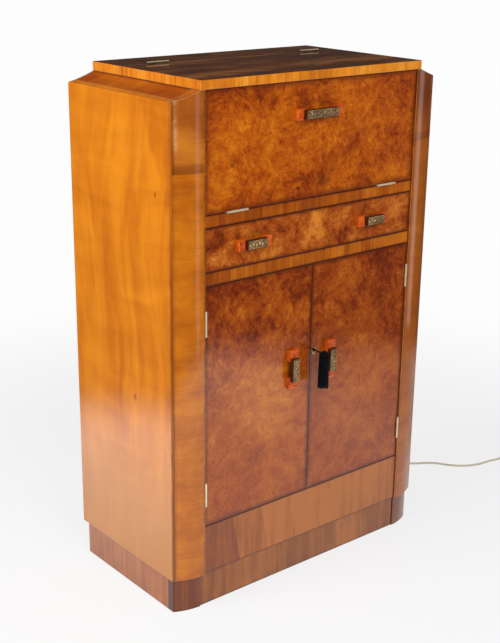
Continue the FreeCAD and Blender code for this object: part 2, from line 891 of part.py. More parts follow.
drawer_front_low = drawer_low + s.panel_gap
drawer_front_high = drawer_high - s.panel_gap
drawer_box_low = drawer_low + s.drawer_running_gap
drawer_box_high = drawer_front_high - s.drawer_side_drop
drawer_half = half - s.panel_gap
lap_face = rail_back - s.drawer_lap
drawer_tail = back_face - s.drawer_back_gap
tail_inner = drawer_tail - s.drawer_wall


def drawer_side(hand):
    # Four tails in front and four behind, wider at their ends than at their roots.
    body = new_body("drawer_side")
    rise = s.dovetail_rise
    pitch = (drawer_box_high - drawer_box_low) / 4
    front, behind = [], []
    for number in range(4):
        low = drawer_box_low + number * pitch
        high = low + pitch
        front += [(rail_back, low + 2 * rise), (lap_face, low + rise), (lap_face, high - rise),
                  (rail_back, high - 2 * rise)]
        behind += [(tail_inner, low + 2 * rise), (drawer_tail, low + rise), (drawer_tail, high - rise),
                   (tail_inner, high - 2 * rise)]
    outline = [(rail_back, drawer_box_low), (tail_inner, drawer_box_low)] + behind
    outline += [(tail_inner, drawer_box_high), (rail_back, drawer_box_high)] + front[::-1]
    x0 = drawer_half - s.drawer_wall if hand > 0 else -drawer_half
    pad(body, "YZ_Plane", outline, x0, s.drawer_wall)
    return body


groove_half = drawer_half - s.drawer_wall + s.drawer_groove
bottom_low = drawer_box_low + s.drawer_bottom_lift
drawer_bottom = box("drawer_bottom", -groove_half, groove_half, rail_back - s.drawer_groove, tail_inner,
                    bottom_low, bottom_low + s.drawer_bottom_thickness)
drawer_walls = group("drawer_walls", [drawer_side(-1), drawer_side(1)])
front_board = box("drawer_front_board", -drawer_half, drawer_half, face, rail_back,
                  drawer_front_low, drawer_front_high)
back_board = box("drawer_back_board", -drawer_half, drawer_half, tail_inner, drawer_tail,
                 drawer_box_low, drawer_box_high)
keep("drawer_bottom", drawer_bottom)
keep("drawer_sides", cut("drawer_sides", drawer_walls, drawer_bottom))
keep("drawer_front", cut("drawer_front", cut("front_sockets", front_board, drawer_walls), drawer_bottom))
keep("drawer_back", cut("drawer_back", back_board, drawer_walls))


# Handles: two reeded blocks bridged by a bar with a raised strip on its face. A
# handle is drawn lying along X and is turned upright for the doors.

def handle_block(length, hand, spot, turn):
    body = new_body("handle_block", *spot, turn)
    end = length / 2
    start = end - s.block_length
    front = -s.block_depth
    edge = end - 3 * s.reed_width
    outline = [(hand * end, 0)]
    for number in range(3):
        outline.append((hand * (end - number * s.reed_width), front, -hand * s.reed_radius))
    outline += [(hand * edge, front), (hand * start, front), (hand * start, 0)]
    pad(body, "XY_Plane", outline, -s.block_height / 2, s.block_height)
    return body


def handle_bar(length, spot, turn):
    body = new_body("handle_bar", *spot, turn)
    end = length / 2 - s.bar_end_inset
    front = -s.block_depth - s.handle_bar_depth
    strip = s.handle_strip_height / 2
    rim = s.handle_bar_height / 2
    outline = [
        (-s.block_depth, -rim),
        (-s.block_depth, rim),
        (front, rim),
        (front, strip),
        (front - s.handle_strip_rise, strip - s.handle_strip_rise),
        (front - s.handle_strip_rise, s.handle_strip_rise - strip),
        (front, -strip),
        (front, -rim),
    ]
    pad(body, "YZ_Plane", outline, -end, 2 * end)
    return body


upright = FreeCAD.Rotation(V(0, 1, 0), 90)


def handle_set(name, length, spots, turn=None):
    suffix = "s" if len(spots) > 1 else ""
    blocks = [handle_block(length, hand, spot, turn) for spot in spots for hand in (-1, 1)]
    bars = [handle_bar(length, spot, turn) for spot in spots]
    keep(f"{name}_handle_blocks", group(f"{name}_handle_blocks", blocks))
    bar = group(f"{name}_handle_bar{suffix}", bars) if suffix else bars[0]
    keep(f"{name}_handle_bar{suffix}", bar)


drawer_middle = (drawer_low + drawer_high) / 2
handle_z = door_top - s.door_handle_drop
drawer_handle_x = half - s.drawer_handle_inset
handle_set("fall", s.long_handle, [(as_size(0), face, fall_top - s.fall_handle_drop)])
handle_set("drawer", s.short_handle, [(hand * drawer_handle_x, face, drawer_middle) for hand in (-1, 1)])
handle_set("door_left", s.short_handle, [(-s.door_handle_place, face, handle_z)], upright)
handle_set("door_right", s.short_handle, [(s.door_handle_place, face, handle_z)], upright)


# Lock: a box on the inside of the right door, its bolt, and a plate outside

lock_low = key_z + s.lock_rise - s.lock_height
lock_left = door_inner + s.lock_inset
lock_body = new_body("lock_case")
pad(lock_body, "XZ_Plane", rectangle(lock_left, lock_left + s.lock_width, lock_low, lock_low + s.lock_height),
    door_back, s.lock_depth)
recess(lock_body, lock_left + s.lock_wall, lock_left + s.lock_width - s.lock_wall, door_back - s.overrun,
       door_back + s.lock_depth - s.lock_wall, lock_low + s.lock_wall, lock_low + s.lock_height - s.lock_wall)
bolt_low = key_z + s.bolt_lift
bolt_y = door_back + (s.lock_depth - s.bolt_thickness) / 2
recess(lock_body, lock_left - s.overrun, lock_left + s.lock_wall + s.bolt_clearance,
       bolt_y - s.bolt_clearance, bolt_y + s.bolt_thickness + s.bolt_clearance,
       bolt_low - s.bolt_clearance, bolt_low + s.bolt_height + s.bolt_clearance)

plate_body = new_body("escutcheon")
plate_half = s.escutcheon_width / 2
plate_low = key_z - s.escutcheon_drop - s.escutcheon_height / 2
plate_high = plate_low + s.escutcheon_height
shield = s.escutcheon_width / 3
plate_outline = [
    (s.key_place - shield, plate_high),
    (s.key_place - plate_half, plate_high - shield, s.escutcheon_height),
    (s.key_place, plate_low, s.escutcheon_height),
    (s.key_place + plate_half, plate_high - shield),
    (s.key_place + shield, plate_high),
]
pad(plate_body, "XZ_Plane", plate_outline, face - s.escutcheon_thickness, s.escutcheon_thickness)
drill(plate_body, s.key_hole_radius, s.escutcheon_thickness + 2 * s.overrun,
      s.key_place, face - s.overrun, key_z, along_y)
slot = s.key_hole_radius / 2
recess(plate_body, s.key_place - slot, s.key_place + slot, face - s.overrun, face + s.overrun,
       key_z - 3 * s.key_hole_radius, key_z)
keep("door_lock", group("door_lock", [lock_body, plate_body]))

bolt_left = lock_left + s.bolt_clearance
bolt_body = new_body("lock_bolt")
bolt_outline = [
    (bolt_left, bolt_low),
    (bolt_left + s.bolt_length, bolt_low),
    (bolt_left + s.bolt_length, bolt_low + s.bolt_height),
    (bolt_left, bolt_low + s.bolt_height),
]
pad(bolt_body, "XZ_Plane", bolt_outline, bolt_y, s.bolt_thickness)
keep("lock_bolt", bolt_body)


# Key with a ring bow, and the tassel that is gathered over the bow

bow_y = -s.key_reach
key_end = door_back + s.key_tail
shank = cylinder("key_shank", s.key_radius, key_end - (bow_y + s.key_bow_radius), s.key_place,
                 bow_y + s.key_bow_radius, key_z, along_y)
bow_left = s.key_place - s.key_bow_wire
bow = cut("key_bow", cylinder("bow_disc", s.key_bow_radius + s.key_bow_wire, 2 * s.key_bow_wire, bow_left,
                              bow_y, key_z, along_x),
          cylinder("bow_hole", s.key_bow_radius - s.key_bow_wire, 2 * s.key_bow_wire, bow_left, bow_y,
                   key_z, along_x))
collar = cylinder("key_collar", s.key_hole_radius + s.key_bow_wire, s.key_bow_wire, s.key_place,
                  face - s.escutcheon_thickness - s.bolt_clearance - s.key_bow_wire, key_z, along_y)
bit = box("key_bit", s.key_place - s.key_bit_thickness / 2, s.key_place + s.key_bit_thickness / 2,
          door_back + s.lock_wall, key_end, key_z - s.key_bit, key_z)
keep("key", fuse("key", [shank, bow, collar, bit]))

tassel_body = new_body("tassel_skirt", s.key_place, bow_y, key_z)
tassel_feature = tassel_body.newObject("PartDesign::Revolution", "skirt")
skirt_low = -s.tassel_drop
hollow_flat = s.tassel_hollow * hollow_flat_share
skirt_outline = [
    (0, s.tassel_rise, -s.tassel_top_radius * 2),
    (s.tassel_top_radius, 0 * s.tassel_rise),
    (s.tassel_radius, skirt_low),
    (0, skirt_low),
    (0, -s.tassel_hollow),
    (hollow_flat, -s.tassel_hollow),
    (s.tassel_hollow, -hollow_flat),
    (s.tassel_hollow, hollow_flat),
    (hollow_flat, s.tassel_hollow),
    (0, s.tassel_hollow),
]
tassel_feature.Profile = draw(tassel_body, "XZ_Plane", skirt_outline, 0)
tassel_feature.ReferenceAxis = (tassel_feature.Profile[0], ["V_Axis"])
recess(tassel_body, -s.tassel_bore, s.tassel_bore, 0 * s.tassel_bore, s.tassel_radius * 2,
       -s.tassel_bore, s.tassel_bore)
keep("tassel", tassel_body)


# Sliding bolt of the left door, on its plate; it passes up behind the rail

slide_x = -s.slide_inset
slide_high = door_top - s.slide_drop
plate_top = slide_high - s.slide_drop
slide_plate = box("slide_plate", slide_x - s.slide_plate_width / 2, slide_x + s.slide_plate_width / 2,
                  door_back, door_back + s.slide_plate_thickness, plate_top - s.slide_plate_length - s.panel_gap,
                  plate_top - s.panel_gap)
slide_front = rail_back + s.slide_plate_thickness + s.bolt_clearance
slide_back = slide_front + s.slide_thickness
staples = []
for hand in (-1, 1):
    low = slide_x + s.slide_width / 2 + s.bolt_clearance
    high = slide_x + s.slide_plate_width / 2
    if hand < 0:
        low, high = slide_x - s.slide_plate_width / 2, slide_x - s.slide_width / 2 - s.bolt_clearance
    staples.append(box("staple_leg", low, high, door_back + s.slide_plate_thickness, slide_back + s.bolt_clearance,
                       plate_top - s.slide_plate_length / 2, plate_top - s.panel_gap))
staples.append(box("staple_bridge", slide_x - s.slide_plate_width / 2, slide_x + s.slide_plate_width / 2,
                   slide_back + s.bolt_clearance, slide_back + s.bolt_clearance + s.slide_plate_thickness,
                   plate_top - s.slide_plate_length / 2, plate_top - s.panel_gap))
keep("door_left_bolt_plate", fuse("door_left_bolt_plate", [slide_plate] + staples))

slide_bar = box("slide_bar", slide_x - s.slide_width / 2, slide_x + s.slide_width / 2, slide_front, slide_back,
                slide_high - s.slide_length, slide_high)
knob_z = slide_high - s.slide_length + s.slide_knob_radius
knob = cylinder("slide_knob", s.slide_knob_radius, s.slide_knob_length, slide_x, slide_back, knob_z, along_y)
keep("door_left_bolt", fuse("door_left_bolt", [slide_bar, knob]))


# Cupboard studs under the shelf

studs = []
for hand in (-1, 1):
    for y in (s.shelf_setback + s.stud_inset, back_face - s.stud_inset):
        x = half - s.stud_length if hand > 0 else -half
        studs.append(cylinder("shelf_stud", s.stud_radius, s.stud_length, x, y,
                              shelf_top - s.shelf_thickness - s.stud_radius, along_x))
keep("shelf_studs", group("shelf_studs", studs))


# Mirrors that line the bar: one behind and one on each side

mirror_low = fall_seat
mirror_high = slab_under - s.mirror_drop
panes = [box("mirror_back", -half, half, back_face - s.mirror_thickness, back_face, mirror_low, mirror_high)]
for hand in (-1, 1):
    edges = sorted((hand * half, hand * (half - s.mirror_thickness)), key=float)
    panes.append(box("mirror_side", edges[0], edges[1], s.mirror_front, back_face - s.mirror_thickness,
                     mirror_low, mirror_high))
keep("mirror_lining", group("mirror_lining", panes))


# Strip lamp on the back panel, with its toggle switch on the right arm

lamp_z = slab_under - s.lamp_drop
lamp_y = back_face - s.lamp_stand
arm_inner = s.lamp_length / 2
arm_outer = arm_inner + s.lamp_arm_width
arm_front = lamp_y - s.lamp_cap_radius
lamp_base = new_body("lamp_base")
base_front = back_face - s.lamp_base_depth
lamp_outline = [
    (-arm_outer, back_face),
    (-arm_outer, arm_front),
    (-arm_inner, arm_front),
    (-arm_inner, base_front),
    (arm_inner, base_front),
    (arm_inner, arm_front),
    (arm_outer, arm_front),
    (arm_outer, back_face),
]
pad(lamp_base, "XY_Plane", lamp_outline, lamp_z - s.lamp_arm_height / 2, s.lamp_arm_height)
toggle_y = arm_front + s.toggle_depth
toggle_x = (arm_inner + arm_outer) / 2
window = s.toggle_barrel_radius + s.toggle_clearance
window_half = s.toggle_width / 2 + s.toggle_clearance
recess(lamp_base, toggle_x - window_half, toggle_x + window_half, arm_front - s.overrun,
       toggle_y + window, lamp_z - window, lamp_z + window)
keep("lamp_bracket", lamp_base)

glass_half = arm_inner - s.lamp_cap_length
glass = cylinder("lamp_glass", s.lamp_radius, 2 * glass_half, -glass_half, lamp_y, lamp_z, along_x)
keep("lamp_tube", glass)
caps = [cylinder("lamp_cap", s.lamp_cap_radius, s.lamp_cap_length, start, lamp_y, lamp_z, along_x)
        for start in (-arm_inner, glass_half)]
keep("lamp_caps", group("lamp_caps", caps))

barrel = cylinder("toggle_barrel", s.toggle_barrel_radius, s.toggle_width, toggle_x - s.toggle_width / 2,
                  toggle_y, lamp_z, along_x)
lever_turn = FreeCAD.Rotation(V(1, 0, 0), 90 + toggle_rest_angle)
lever = taper("toggle_lever", s.toggle_tip_radius / 2, s.toggle_tip_radius, s.toggle_length,
             toggle_x, toggle_y, lamp_z, lever_turn)
keep("switch_toggle", fuse("switch_toggle", [barrel, lever]))


# Flex. The free stretch is straight runs with tangent arcs. Its points are listed
# from the end of the grommet and by their height over the floor: the first part
# drops from the back panel and the rest lies on the floor.

cord_z = s.cord_diameter / 2
relief_end = rear + s.relief_length
cord_route = [
    (0, 0, 150),
    (0, 25, 150),
    (1, 48, 139),
    (3, 65, 119),
    (6, 74, 91),
    (10, 77, 61),
    (18, 77, 32),
    (36, 75, 11),
    (66, 68, 3),
    (104, 50, 3),
    (144, 20, 3),
    (180, -20, 3),
    (211, -69, 3),
    (237, -124, 3),
    (268, -171, 3),
    (303, -204, 3),
    (335, -222, 3),
    (361, -245, 3),
    (379, -276, 3),
    (403, -303, 3),
    (433, -322, 3),
    (466, -332, 3),
    (503, -335, 3),
    (537, -344, 3),
    (569, -341, 3),
    (601, -341, 3),
]
straight_share = 0.45


def tangent_path(points, bend=None):
    # Straight runs joined by arcs; an arc's radius is a share of the shorter run
    # divided by the tangent of half the turn, or a given bend.
    edges = []
    radii = []
    last = points[0]
    for before, corner, after in zip(points, points[1:], points[2:]):
        back = before.sub(corner)
        ahead = after.sub(corner)
        turn = math.pi - back.getAngle(ahead)
        cut_back = straight_share * min(back.Length, ahead.Length)
        if bend is not None:
            cut_back = bend * math.tan(turn / 2)
        radius = cut_back / math.tan(turn / 2)
        radii.append(radius)
        start = corner + V(back).normalize() * cut_back
        end = corner + V(ahead).normalize() * cut_back
        inward = (V(back).normalize() + V(ahead).normalize()).normalize()
        centre = corner + inward * (radius / math.cos(turn / 2))
        middle = centre - inward * radius
        edges.append(Part.LineSegment(last, start).toShape())
        edges.append(Part.Arc(start, middle, end).toShape())
        last = end
    edges.append(Part.LineSegment(last, points[-1]).toShape())
    return Part.Wire(edges), radii


def facet_ring(centre, way, upward, radius):
    # Eight-sided section, flat below, whose sides touch a circle of the given radius.
    across = way.cross(upward).normalize()
    corner = radius / math.cos(math.pi / cord_sides)
    points = []
    for number in range(cord_sides + 1):
        angle = math.pi * (2 * number + 1) / cord_sides
        points.append(centre + across * (corner * math.sin(angle)) + upward * (corner * math.cos(angle)))
    return Part.makePolygon(points)


def tube(path, radius):
    # Faceted section swept along a path that begins straight and level.
    start = path.Edges[0].valueAt(path.Edges[0].FirstParameter)
    way = path.Edges[0].tangentAt(path.Edges[0].FirstParameter)
    shell = Part.BRepOffsetAPI.MakePipeShell(path)
    side = way.cross(V(0, 0, 1)).normalize()
    shell.add(facet_ring(start, way, side.cross(way).normalize(), radius))
    shell.build()
    shell.makeSolid()
    solid = shell.shape()
    area = cord_sides * radius * radius * math.tan(math.pi / cord_sides)
    print("tube length", round(path.Length, 1), "volume share", round(solid.Volume / (area * path.Length), 4))
    return solid


def feature(name, shape):
    thing = doc.addObject("Part::Feature", name)
    thing.Shape = shape
    return place(thing, 0, front_y, 0)


cord_points = [V(float(cord_x) + x, float(relief_end) + y, z) for x, y, z in cord_route]
cord_path, cord_radii = tangent_path(cord_points)
print("cord radii", [round(radius) for radius in cord_radii])
keep("cord_run", feature("cord_run", tube(cord_path, float(cord_z))))

# Coil: half turns that shrink by half a pitch each on the floor, one half turn that
# climbs a layer, and as many that grow again on top.
coil_start = cord_points[-1] + V(float(s.cord_diameter), 0, 0)


def coil_path():
    step = float(s.coil_pitch) / 2
    radius = float(s.coil_radius)
    way = V(1, 0, 0)
    side = V(0, -1, 0)
    here = coil_start
    straight = V(float(s.cord_diameter), 0, 0)
    edges = [Part.LineSegment(here - straight, here).toShape()]
    spots = [here - straight]
    radii = [radius - number * step for number in range(coil_half_turns_in)]
    radii = radii + [None] + radii[::-1]
    inner = radius - coil_half_turns_in * step
    for half_radius in radii:
        if half_radius is None:
            tilt = math.asin(float(s.coil_layer) / (2 * inner))
            slant = side * math.cos(tilt) + V(0, 0, 1) * math.sin(tilt)
            for way_in, way_out in ((way, slant), (slant, V(way) * -1)):
                centre = here + way_out * inner
                middle = centre - (way_out - way_in) * (inner / math.sqrt(2))
                end = here + way_in * inner + way_out * inner
                edges.append(Part.Arc(here, middle, end).toShape())
                here = end
        else:
            end = here + side * (2 * half_radius)
            middle = here + side * half_radius + way * half_radius
            edges.append(Part.Arc(here, middle, end).toShape())
            here = end
        way = way * -1
        side = side * -1
    end = here + V(-float(s.cord_diameter), 0, 0)
    edges.append(Part.LineSegment(here, end).toShape())
    return Part.Wire(edges), end


def least_self_gap(path, diameter):
    # Smallest distance between points of the line a good part of a turn apart.
    points = path.discretize(Distance=float(diameter) / 3)
    apart = int(4 * float(diameter) / (float(diameter) / 3))
    least = None
    for index, first in enumerate(points):
        for second in points[index + apart:]:
            distance = first.distanceToPoint(second)
            least = distance if least is None else min(least, distance)
    return least - float(diameter)


coil_wire, coil_end = coil_path()
print("coil gap", round(least_self_gap(coil_wire, s.cord_diameter), 2), "ends at", coil_end)
keep("cord_coil", feature("cord_coil", tube(coil_wire, float(cord_z))))


# Plug: a rounded body with three flat pins that point up, and its tapered relief

plug_axis_z = cord_z + s.coil_layer
plug_y = as_size(coil_end.y)
plug_face_x = as_size(coil_end.x) - s.plug_relief
plug_body = new_body("plug_body")
plug_half = s.plug_width / 2
plug_tail = plug_face_x - s.plug_length
nose = s.plug_nose / 2
plug_outline = [
    (plug_face_x, plug_y - nose),
    (plug_face_x, plug_y + nose),
    (plug_face_x - s.plug_length / 3, plug_y + plug_half),
    (plug_tail, plug_y + plug_half),
    (plug_tail, plug_y - plug_half),
    (plug_face_x - s.plug_length / 3, plug_y - plug_half),
]
pad(plug_body, "XY_Plane", plug_outline, 0, 2 * plug_axis_z)
soften(plug_body, s.plug_corner, lambda middle, way: abs(way.z) > 0.9)
plug_pins = []
pin_spots = [(-s.plug_pin_reach, as_size(0), s.plug_pin_width, s.plug_pin_thickness)]
for hand in (-1, 1):
    pin_spots.append((-s.plug_length + s.plug_pin_spread, hand * s.plug_pin_spread,
                      s.plug_pin_thickness, s.plug_pin_width))
for reach, aside, length, width in pin_spots:
    x, y = plug_face_x + reach, plug_y + aside
    plug_pins.append(box("plug_pin", x - length / 2, x + length / 2, y - width / 2, y + width / 2,
                         2 * plug_axis_z, 2 * plug_axis_z + s.plug_pin_length))
relief = taper("plug_relief", s.plug_relief_radius, cord_z + s.bolt_clearance, s.plug_relief,
              plug_face_x, plug_y, plug_axis_z, along_x)
keep("plug", fuse("plug", [plug_body, relief] + plug_pins))


# Grommet in the back panel, with the tapered relief outside

flange_front = back_face - s.grommet_flange
grommet_parts = [
    cylinder("grommet_flange", s.grommet_radius, s.grommet_flange, cord_x, flange_front,
             s.cord_height, along_y),
    cylinder("grommet_neck", s.grommet_neck_radius, s.back_thickness, cord_x, back_face,
             s.cord_height, along_y),
    taper("grommet_relief", s.grommet_radius, cord_z + s.bolt_clearance, s.relief_length, cord_x,
         rear, s.cord_height, along_y),
]
keep("cord_grommet", fuse("cord_grommet", grommet_parts))


# Lead from the grommet up behind the inner side and along to the lamp, with clips

lead_y = back_face - s.lead_stand
lead_points = [
    V(float(cord_x), float(flange_front), float(s.cord_height)),
    V(float(cord_x), float(lead_y - s.lead_stand), float(s.cord_height)),
    V(float(cord_x), float(lead_y - s.lead_stand), float(s.cord_height + 2 * s.lead_stand)),
    V(float(cord_x), float(lead_y), float(s.cord_height + 4 * s.lead_stand)),
    V(float(cord_x), float(lead_y), float(lamp_z)),
    V(float(arm_outer), float(lead_y), float(lamp_z)),
]
lead_path, lead_radii = tangent_path(lead_points, float(s.lead_bend))
lead_tube = feature("lead_tube", tube(lead_path, float(s.lead_diameter) / 2))
clips = []
for share in clip_shares:
    z = s.cord_height + share * (lamp_z - s.cord_height)
    clip = box("clip", cord_x - s.clip_size / 2, cord_x + s.clip_size / 2, lead_y, back_face,
               z - s.clip_size / 2, z + s.clip_size / 2)
    clips.append(cut("lead_clip", clip, lead_tube))
keep("lamp_lead", group("lamp_lead", [lead_tube] + clips))


# Check every object and write one file for each node

doc.recompute()
faults = []
for thing in doc.Objects:
    if "Invalid" in thing.State or "Error" in thing.State:
        faults.append(f"{thing.Name} {thing.State}")
for name, thing in nodes.items():
    if thing.Shape.isNull() or not thing.Shape.isValid() or not thing.Shape.Solids:
        faults.append(f"{name} has no sound shape")
if faults:
    raise RuntimeError("; ".join(faults))
for name, thing in nodes.items():
    thing.Shape.exportStep(f"parts/{name}.step")
print(len(nodes), "nodes written")
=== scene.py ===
import math
import random
from functools import reduce

import bmesh
import bpy
from mathutils import Matrix, Vector


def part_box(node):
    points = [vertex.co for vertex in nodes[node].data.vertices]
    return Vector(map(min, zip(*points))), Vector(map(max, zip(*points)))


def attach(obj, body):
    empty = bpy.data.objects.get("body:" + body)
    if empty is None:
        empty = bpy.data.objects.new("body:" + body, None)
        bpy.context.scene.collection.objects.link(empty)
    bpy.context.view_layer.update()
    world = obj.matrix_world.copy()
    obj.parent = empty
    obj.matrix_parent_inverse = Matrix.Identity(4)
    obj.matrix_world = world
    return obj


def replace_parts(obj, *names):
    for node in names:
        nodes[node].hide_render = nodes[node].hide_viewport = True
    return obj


# Bar cabinet in figured and burr walnut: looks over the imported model.
# Lengths are in metres, with the front towards -Y and the floor at z 0.

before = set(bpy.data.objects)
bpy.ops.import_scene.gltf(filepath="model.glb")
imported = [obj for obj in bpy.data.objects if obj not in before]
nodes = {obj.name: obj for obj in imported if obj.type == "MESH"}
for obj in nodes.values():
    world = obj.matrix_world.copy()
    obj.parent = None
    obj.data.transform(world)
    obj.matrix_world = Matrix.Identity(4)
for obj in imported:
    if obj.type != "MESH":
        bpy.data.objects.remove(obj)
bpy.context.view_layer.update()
scene = bpy.context.scene
slabLow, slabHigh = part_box("lid_panel")
frontY = round(slabLow[1], 4)  # the slab's front edge
slabX, slabBack, slabZ = slabHigh  # half the slab's width, its back edge and its top
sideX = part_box("side_panel_right")[1][0]  # half the case's width
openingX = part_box("mid_rail")[1][0]  # half the width between the posts
print("frame loaded:", len(nodes), "nodes")

# The camera stands where the photograph was taken from
lens = {
    "length": 66.8, "farthest": 60, "azimuth": -39.679, "elevation": 18.726, "roll": 0.732,
    "place": (-1.8644, -2.01155 + frontY, 1.59445)}

azimuth, elevation, roll = (math.radians(lens[key]) for key in ("azimuth", "elevation", "roll"))
ahead = Vector((-math.sin(azimuth) * math.cos(elevation), math.cos(azimuth) * math.cos(elevation),
                -math.sin(elevation)))
right = ahead.cross(Vector((0, 0, 1))).normalized()
up = right.cross(ahead)
right, up = (math.cos(roll) * right + math.sin(roll) * up, math.cos(roll) * up - math.sin(roll) * right)
camera = bpy.data.objects.new("camera", bpy.data.cameras.new("camera"))
camera.data.lens = lens["length"]
camera.data.clip_end = lens["farthest"]
camera.matrix_world = Matrix.Translation(lens["place"]) @ Matrix((right, up, -ahead)).transposed().to_4x4()
scene.collection.objects.link(camera)
scene.camera = camera
scene.view_settings.view_transform = "Standard"
print("camera set")


class Wire:
    # a socket's value, on which a sum adds its Math nodes
    def __init__(self, tree, socket):
        self.tree = tree
        self.socket = socket

    def sum(self, operation, *parts):
        return self.tree.node("Math", {"operation": operation}, dict(enumerate(parts)))

    def __add__(self, other):
        return self.sum("ADD", self, other)

    __radd__ = __add__

    def __sub__(self, other):
        return self.sum("SUBTRACT", self, other)

    def __rsub__(self, other):
        return self.sum("SUBTRACT", other, self)

    def __mul__(self, other):
        return self.sum("MULTIPLY", self, other)

    __rmul__ = __mul__

    def __pow__(self, other):
        return self.sum("POWER", self, other)

    def __abs__(self):
        return self.sum("ABSOLUTE", self)

    def larger(self, other):
        return self.sum("MAXIMUM", self, other)

    def smaller(self, other):
        return self.sum("MINIMUM", self, other)


def apart(across, along):
    return (across ** 2 + along ** 2) ** 0.5


class Tree:
    def __init__(self, name, world=False):
        self.owner = scene.world if world else bpy.data.materials.new(name)
        self.owner.use_nodes = True
        self.nodes = self.owner.node_tree.nodes
        self.links = self.owner.node_tree.links
        self.nodes.clear()
        self.end = self.nodes.new("ShaderNodeOutputWorld" if world else "ShaderNodeOutputMaterial")

    def node(self, kind, settings=None, values=None, output=0):
        made = self.nodes.new("ShaderNode" + kind)
        for key, value in (settings or {}).items():
            if key == "stops":
                while len(made.color_ramp.elements) < len(value):
                    made.color_ramp.elements.new(0.5)
                for element, (position, colour) in zip(made.color_ramp.elements, value):
                    element.position = position
                    element.color = (*colour, 1)
            else:
                setattr(made, key, value)
        for key, value in (values or {}).items():
            socket = made.inputs[key]
            if isinstance(value, Wire):
                self.links.new(value.socket, socket)
            elif socket.type == "RGBA" and len(value) == 3:
                socket.default_value = (*value, 1)
            else:
                socket.default_value = value
        return Wire(self, made.outputs[output])

    def flat(self):
        return self.node("TexCoord", output="Object")

    def axis(self, where, name):
        return self.node("SeparateXYZ", None, {0: where}, output=name)

    def stretch(self, where, scale=(1, 1, 1), turn=(0, 0, 0), shift=(0, 0, 0)):
        return self.node("Mapping", None, {"Vector": where, "Location": shift, "Rotation": turn, "Scale": scale})

    def noise(self, where, scale, detail=3, roughness=0.5, distortion=0.0, output=0):
        values = {"Vector": where, "Scale": scale, "Detail": detail, "Roughness": roughness, "Distortion": distortion}
        return self.node("TexNoise", None, values, output)

    def warp(self, where, amount, scale, detail=2, *rest):
        # pushes a place about by a colour noise
        by = self.noise(where, scale, detail, *rest, output=1)
        offset = self.node("VectorMath", {"operation": "SUBTRACT"}, {0: by, 1: (0.5, 0.5, 0.5)})
        offset = self.node("VectorMath", {"operation": "SCALE"}, {0: offset, "Scale": amount})
        return self.node("VectorMath", {"operation": "ADD"}, {0: where, 1: offset})

    def spread(self, value, low, high, toLow=0.0, toHigh=1.0, smooth=True):
        return self.node("MapRange", {"interpolation_type": "SMOOTHSTEP" if smooth else "LINEAR"},
                         {0: value, 1: low, 2: high, 3: toLow, 4: toHigh})

    def ramp(self, value, *stops):
        return self.node("ValToRGB", {"stops": stops}, {0: value})

    def tones(self, value, look, **places):
        # a ramp through a look's own colours
        return self.ramp(value, *((place, look[key]) for key, place in places.items()))

    def mix(self, factor, first, second):
        return self.node("Mix", {"data_type": "RGBA"}, {0: factor, 6: first, 7: second}, 2)

    def rounded(self, radius, samples=4):
        return self.node("Bevel", {"samples": samples}, {"Radius": radius})

    def bump(self, height, strength, distance, **normal):
        return self.node("Bump", None, {"Height": height, "Strength": strength, "Distance": distance, **normal})

    def shade(self, shader):
        self.links.new(shader.socket, self.end.inputs["Surface"])
        return self.owner

    def surface(self, values):
        return self.shade(self.node("BsdfPrincipled", None, values))


def wear(names, material):
    for name in names:
        nodes[name].data.materials.clear()
        nodes[name].data.materials.append(material)


# French polish: the grain barely shows in it, and its arrises are coloured pale, partly as bare wood where it is
# worn, partly as a painted highlight
polish = {
    "arris": 0.0014, "roughness": 0.45, "specular": 0.08, "coatRoughness": 0.09, "wornHighlight": (0.98, 0.66, 0.36),
    "wornHighlightFrom": 0.8, "wornHighlightTo": 0.99, "grain": 0.35, "grainDepth": 0.00012}


def polished(tree, colour, height, worn=0.0, coat=1.0):
    rounded = tree.rounded(polish["arris"], 6)
    # painted highlight with wear: the arrises are coloured pale, as worn bare wood and as the highlight the polish
    # catches there
    if worn:
        alike = tree.node("VectorMath", {"operation": "DOT_PRODUCT"},
                          {0: rounded, 1: tree.node("NewGeometry", output="Normal")}, "Value")
        wornHighlight = tree.spread(alike, polish["wornHighlightFrom"], polish["wornHighlightTo"], worn, 0)
        colour = tree.mix(wornHighlight, colour, polish["wornHighlight"])
    return tree.surface({
        "Base Color": colour, "Roughness": polish["roughness"], "Specular IOR Level": polish["specular"],
        "Normal": tree.bump(height, polish["grain"], polish["grainDepth"], Normal=rounded), "Coat Weight": coat,
        "Coat Roughness": polish["coatRoughness"], "Coat Normal": rounded})


edgeGrimeAndShade = {"from": 0.0004, "line": (0.0008, 0.002), "lineShare": 0.92, "ragged": 0.8}


def grimeAndShade(tree, flat, nodeName, width, strength=0.7):
    # painted shade and old polish grime darken a panel's edges, where it meets its neighbours, with a crisp dark line
    # at the very edge
    low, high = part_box(nodeName)
    gaps = []
    for axis, letter in ((0, "X"), (2, "Z")):
        run = tree.axis(flat, letter)
        gaps += [run - low[axis], high[axis] - run]
    nearest = reduce(Wire.smaller, gaps)
    worn = nearest + (tree.noise(flat, 60, 3, 0.6) - 0.5) * width * edgeGrimeAndShade["ragged"]
    soft = tree.spread(worn, edgeGrimeAndShade["from"], width, strength, 0)
    return soft.larger(tree.spread(nearest, *edgeGrimeAndShade["line"], edgeGrimeAndShade["lineShare"], 0))


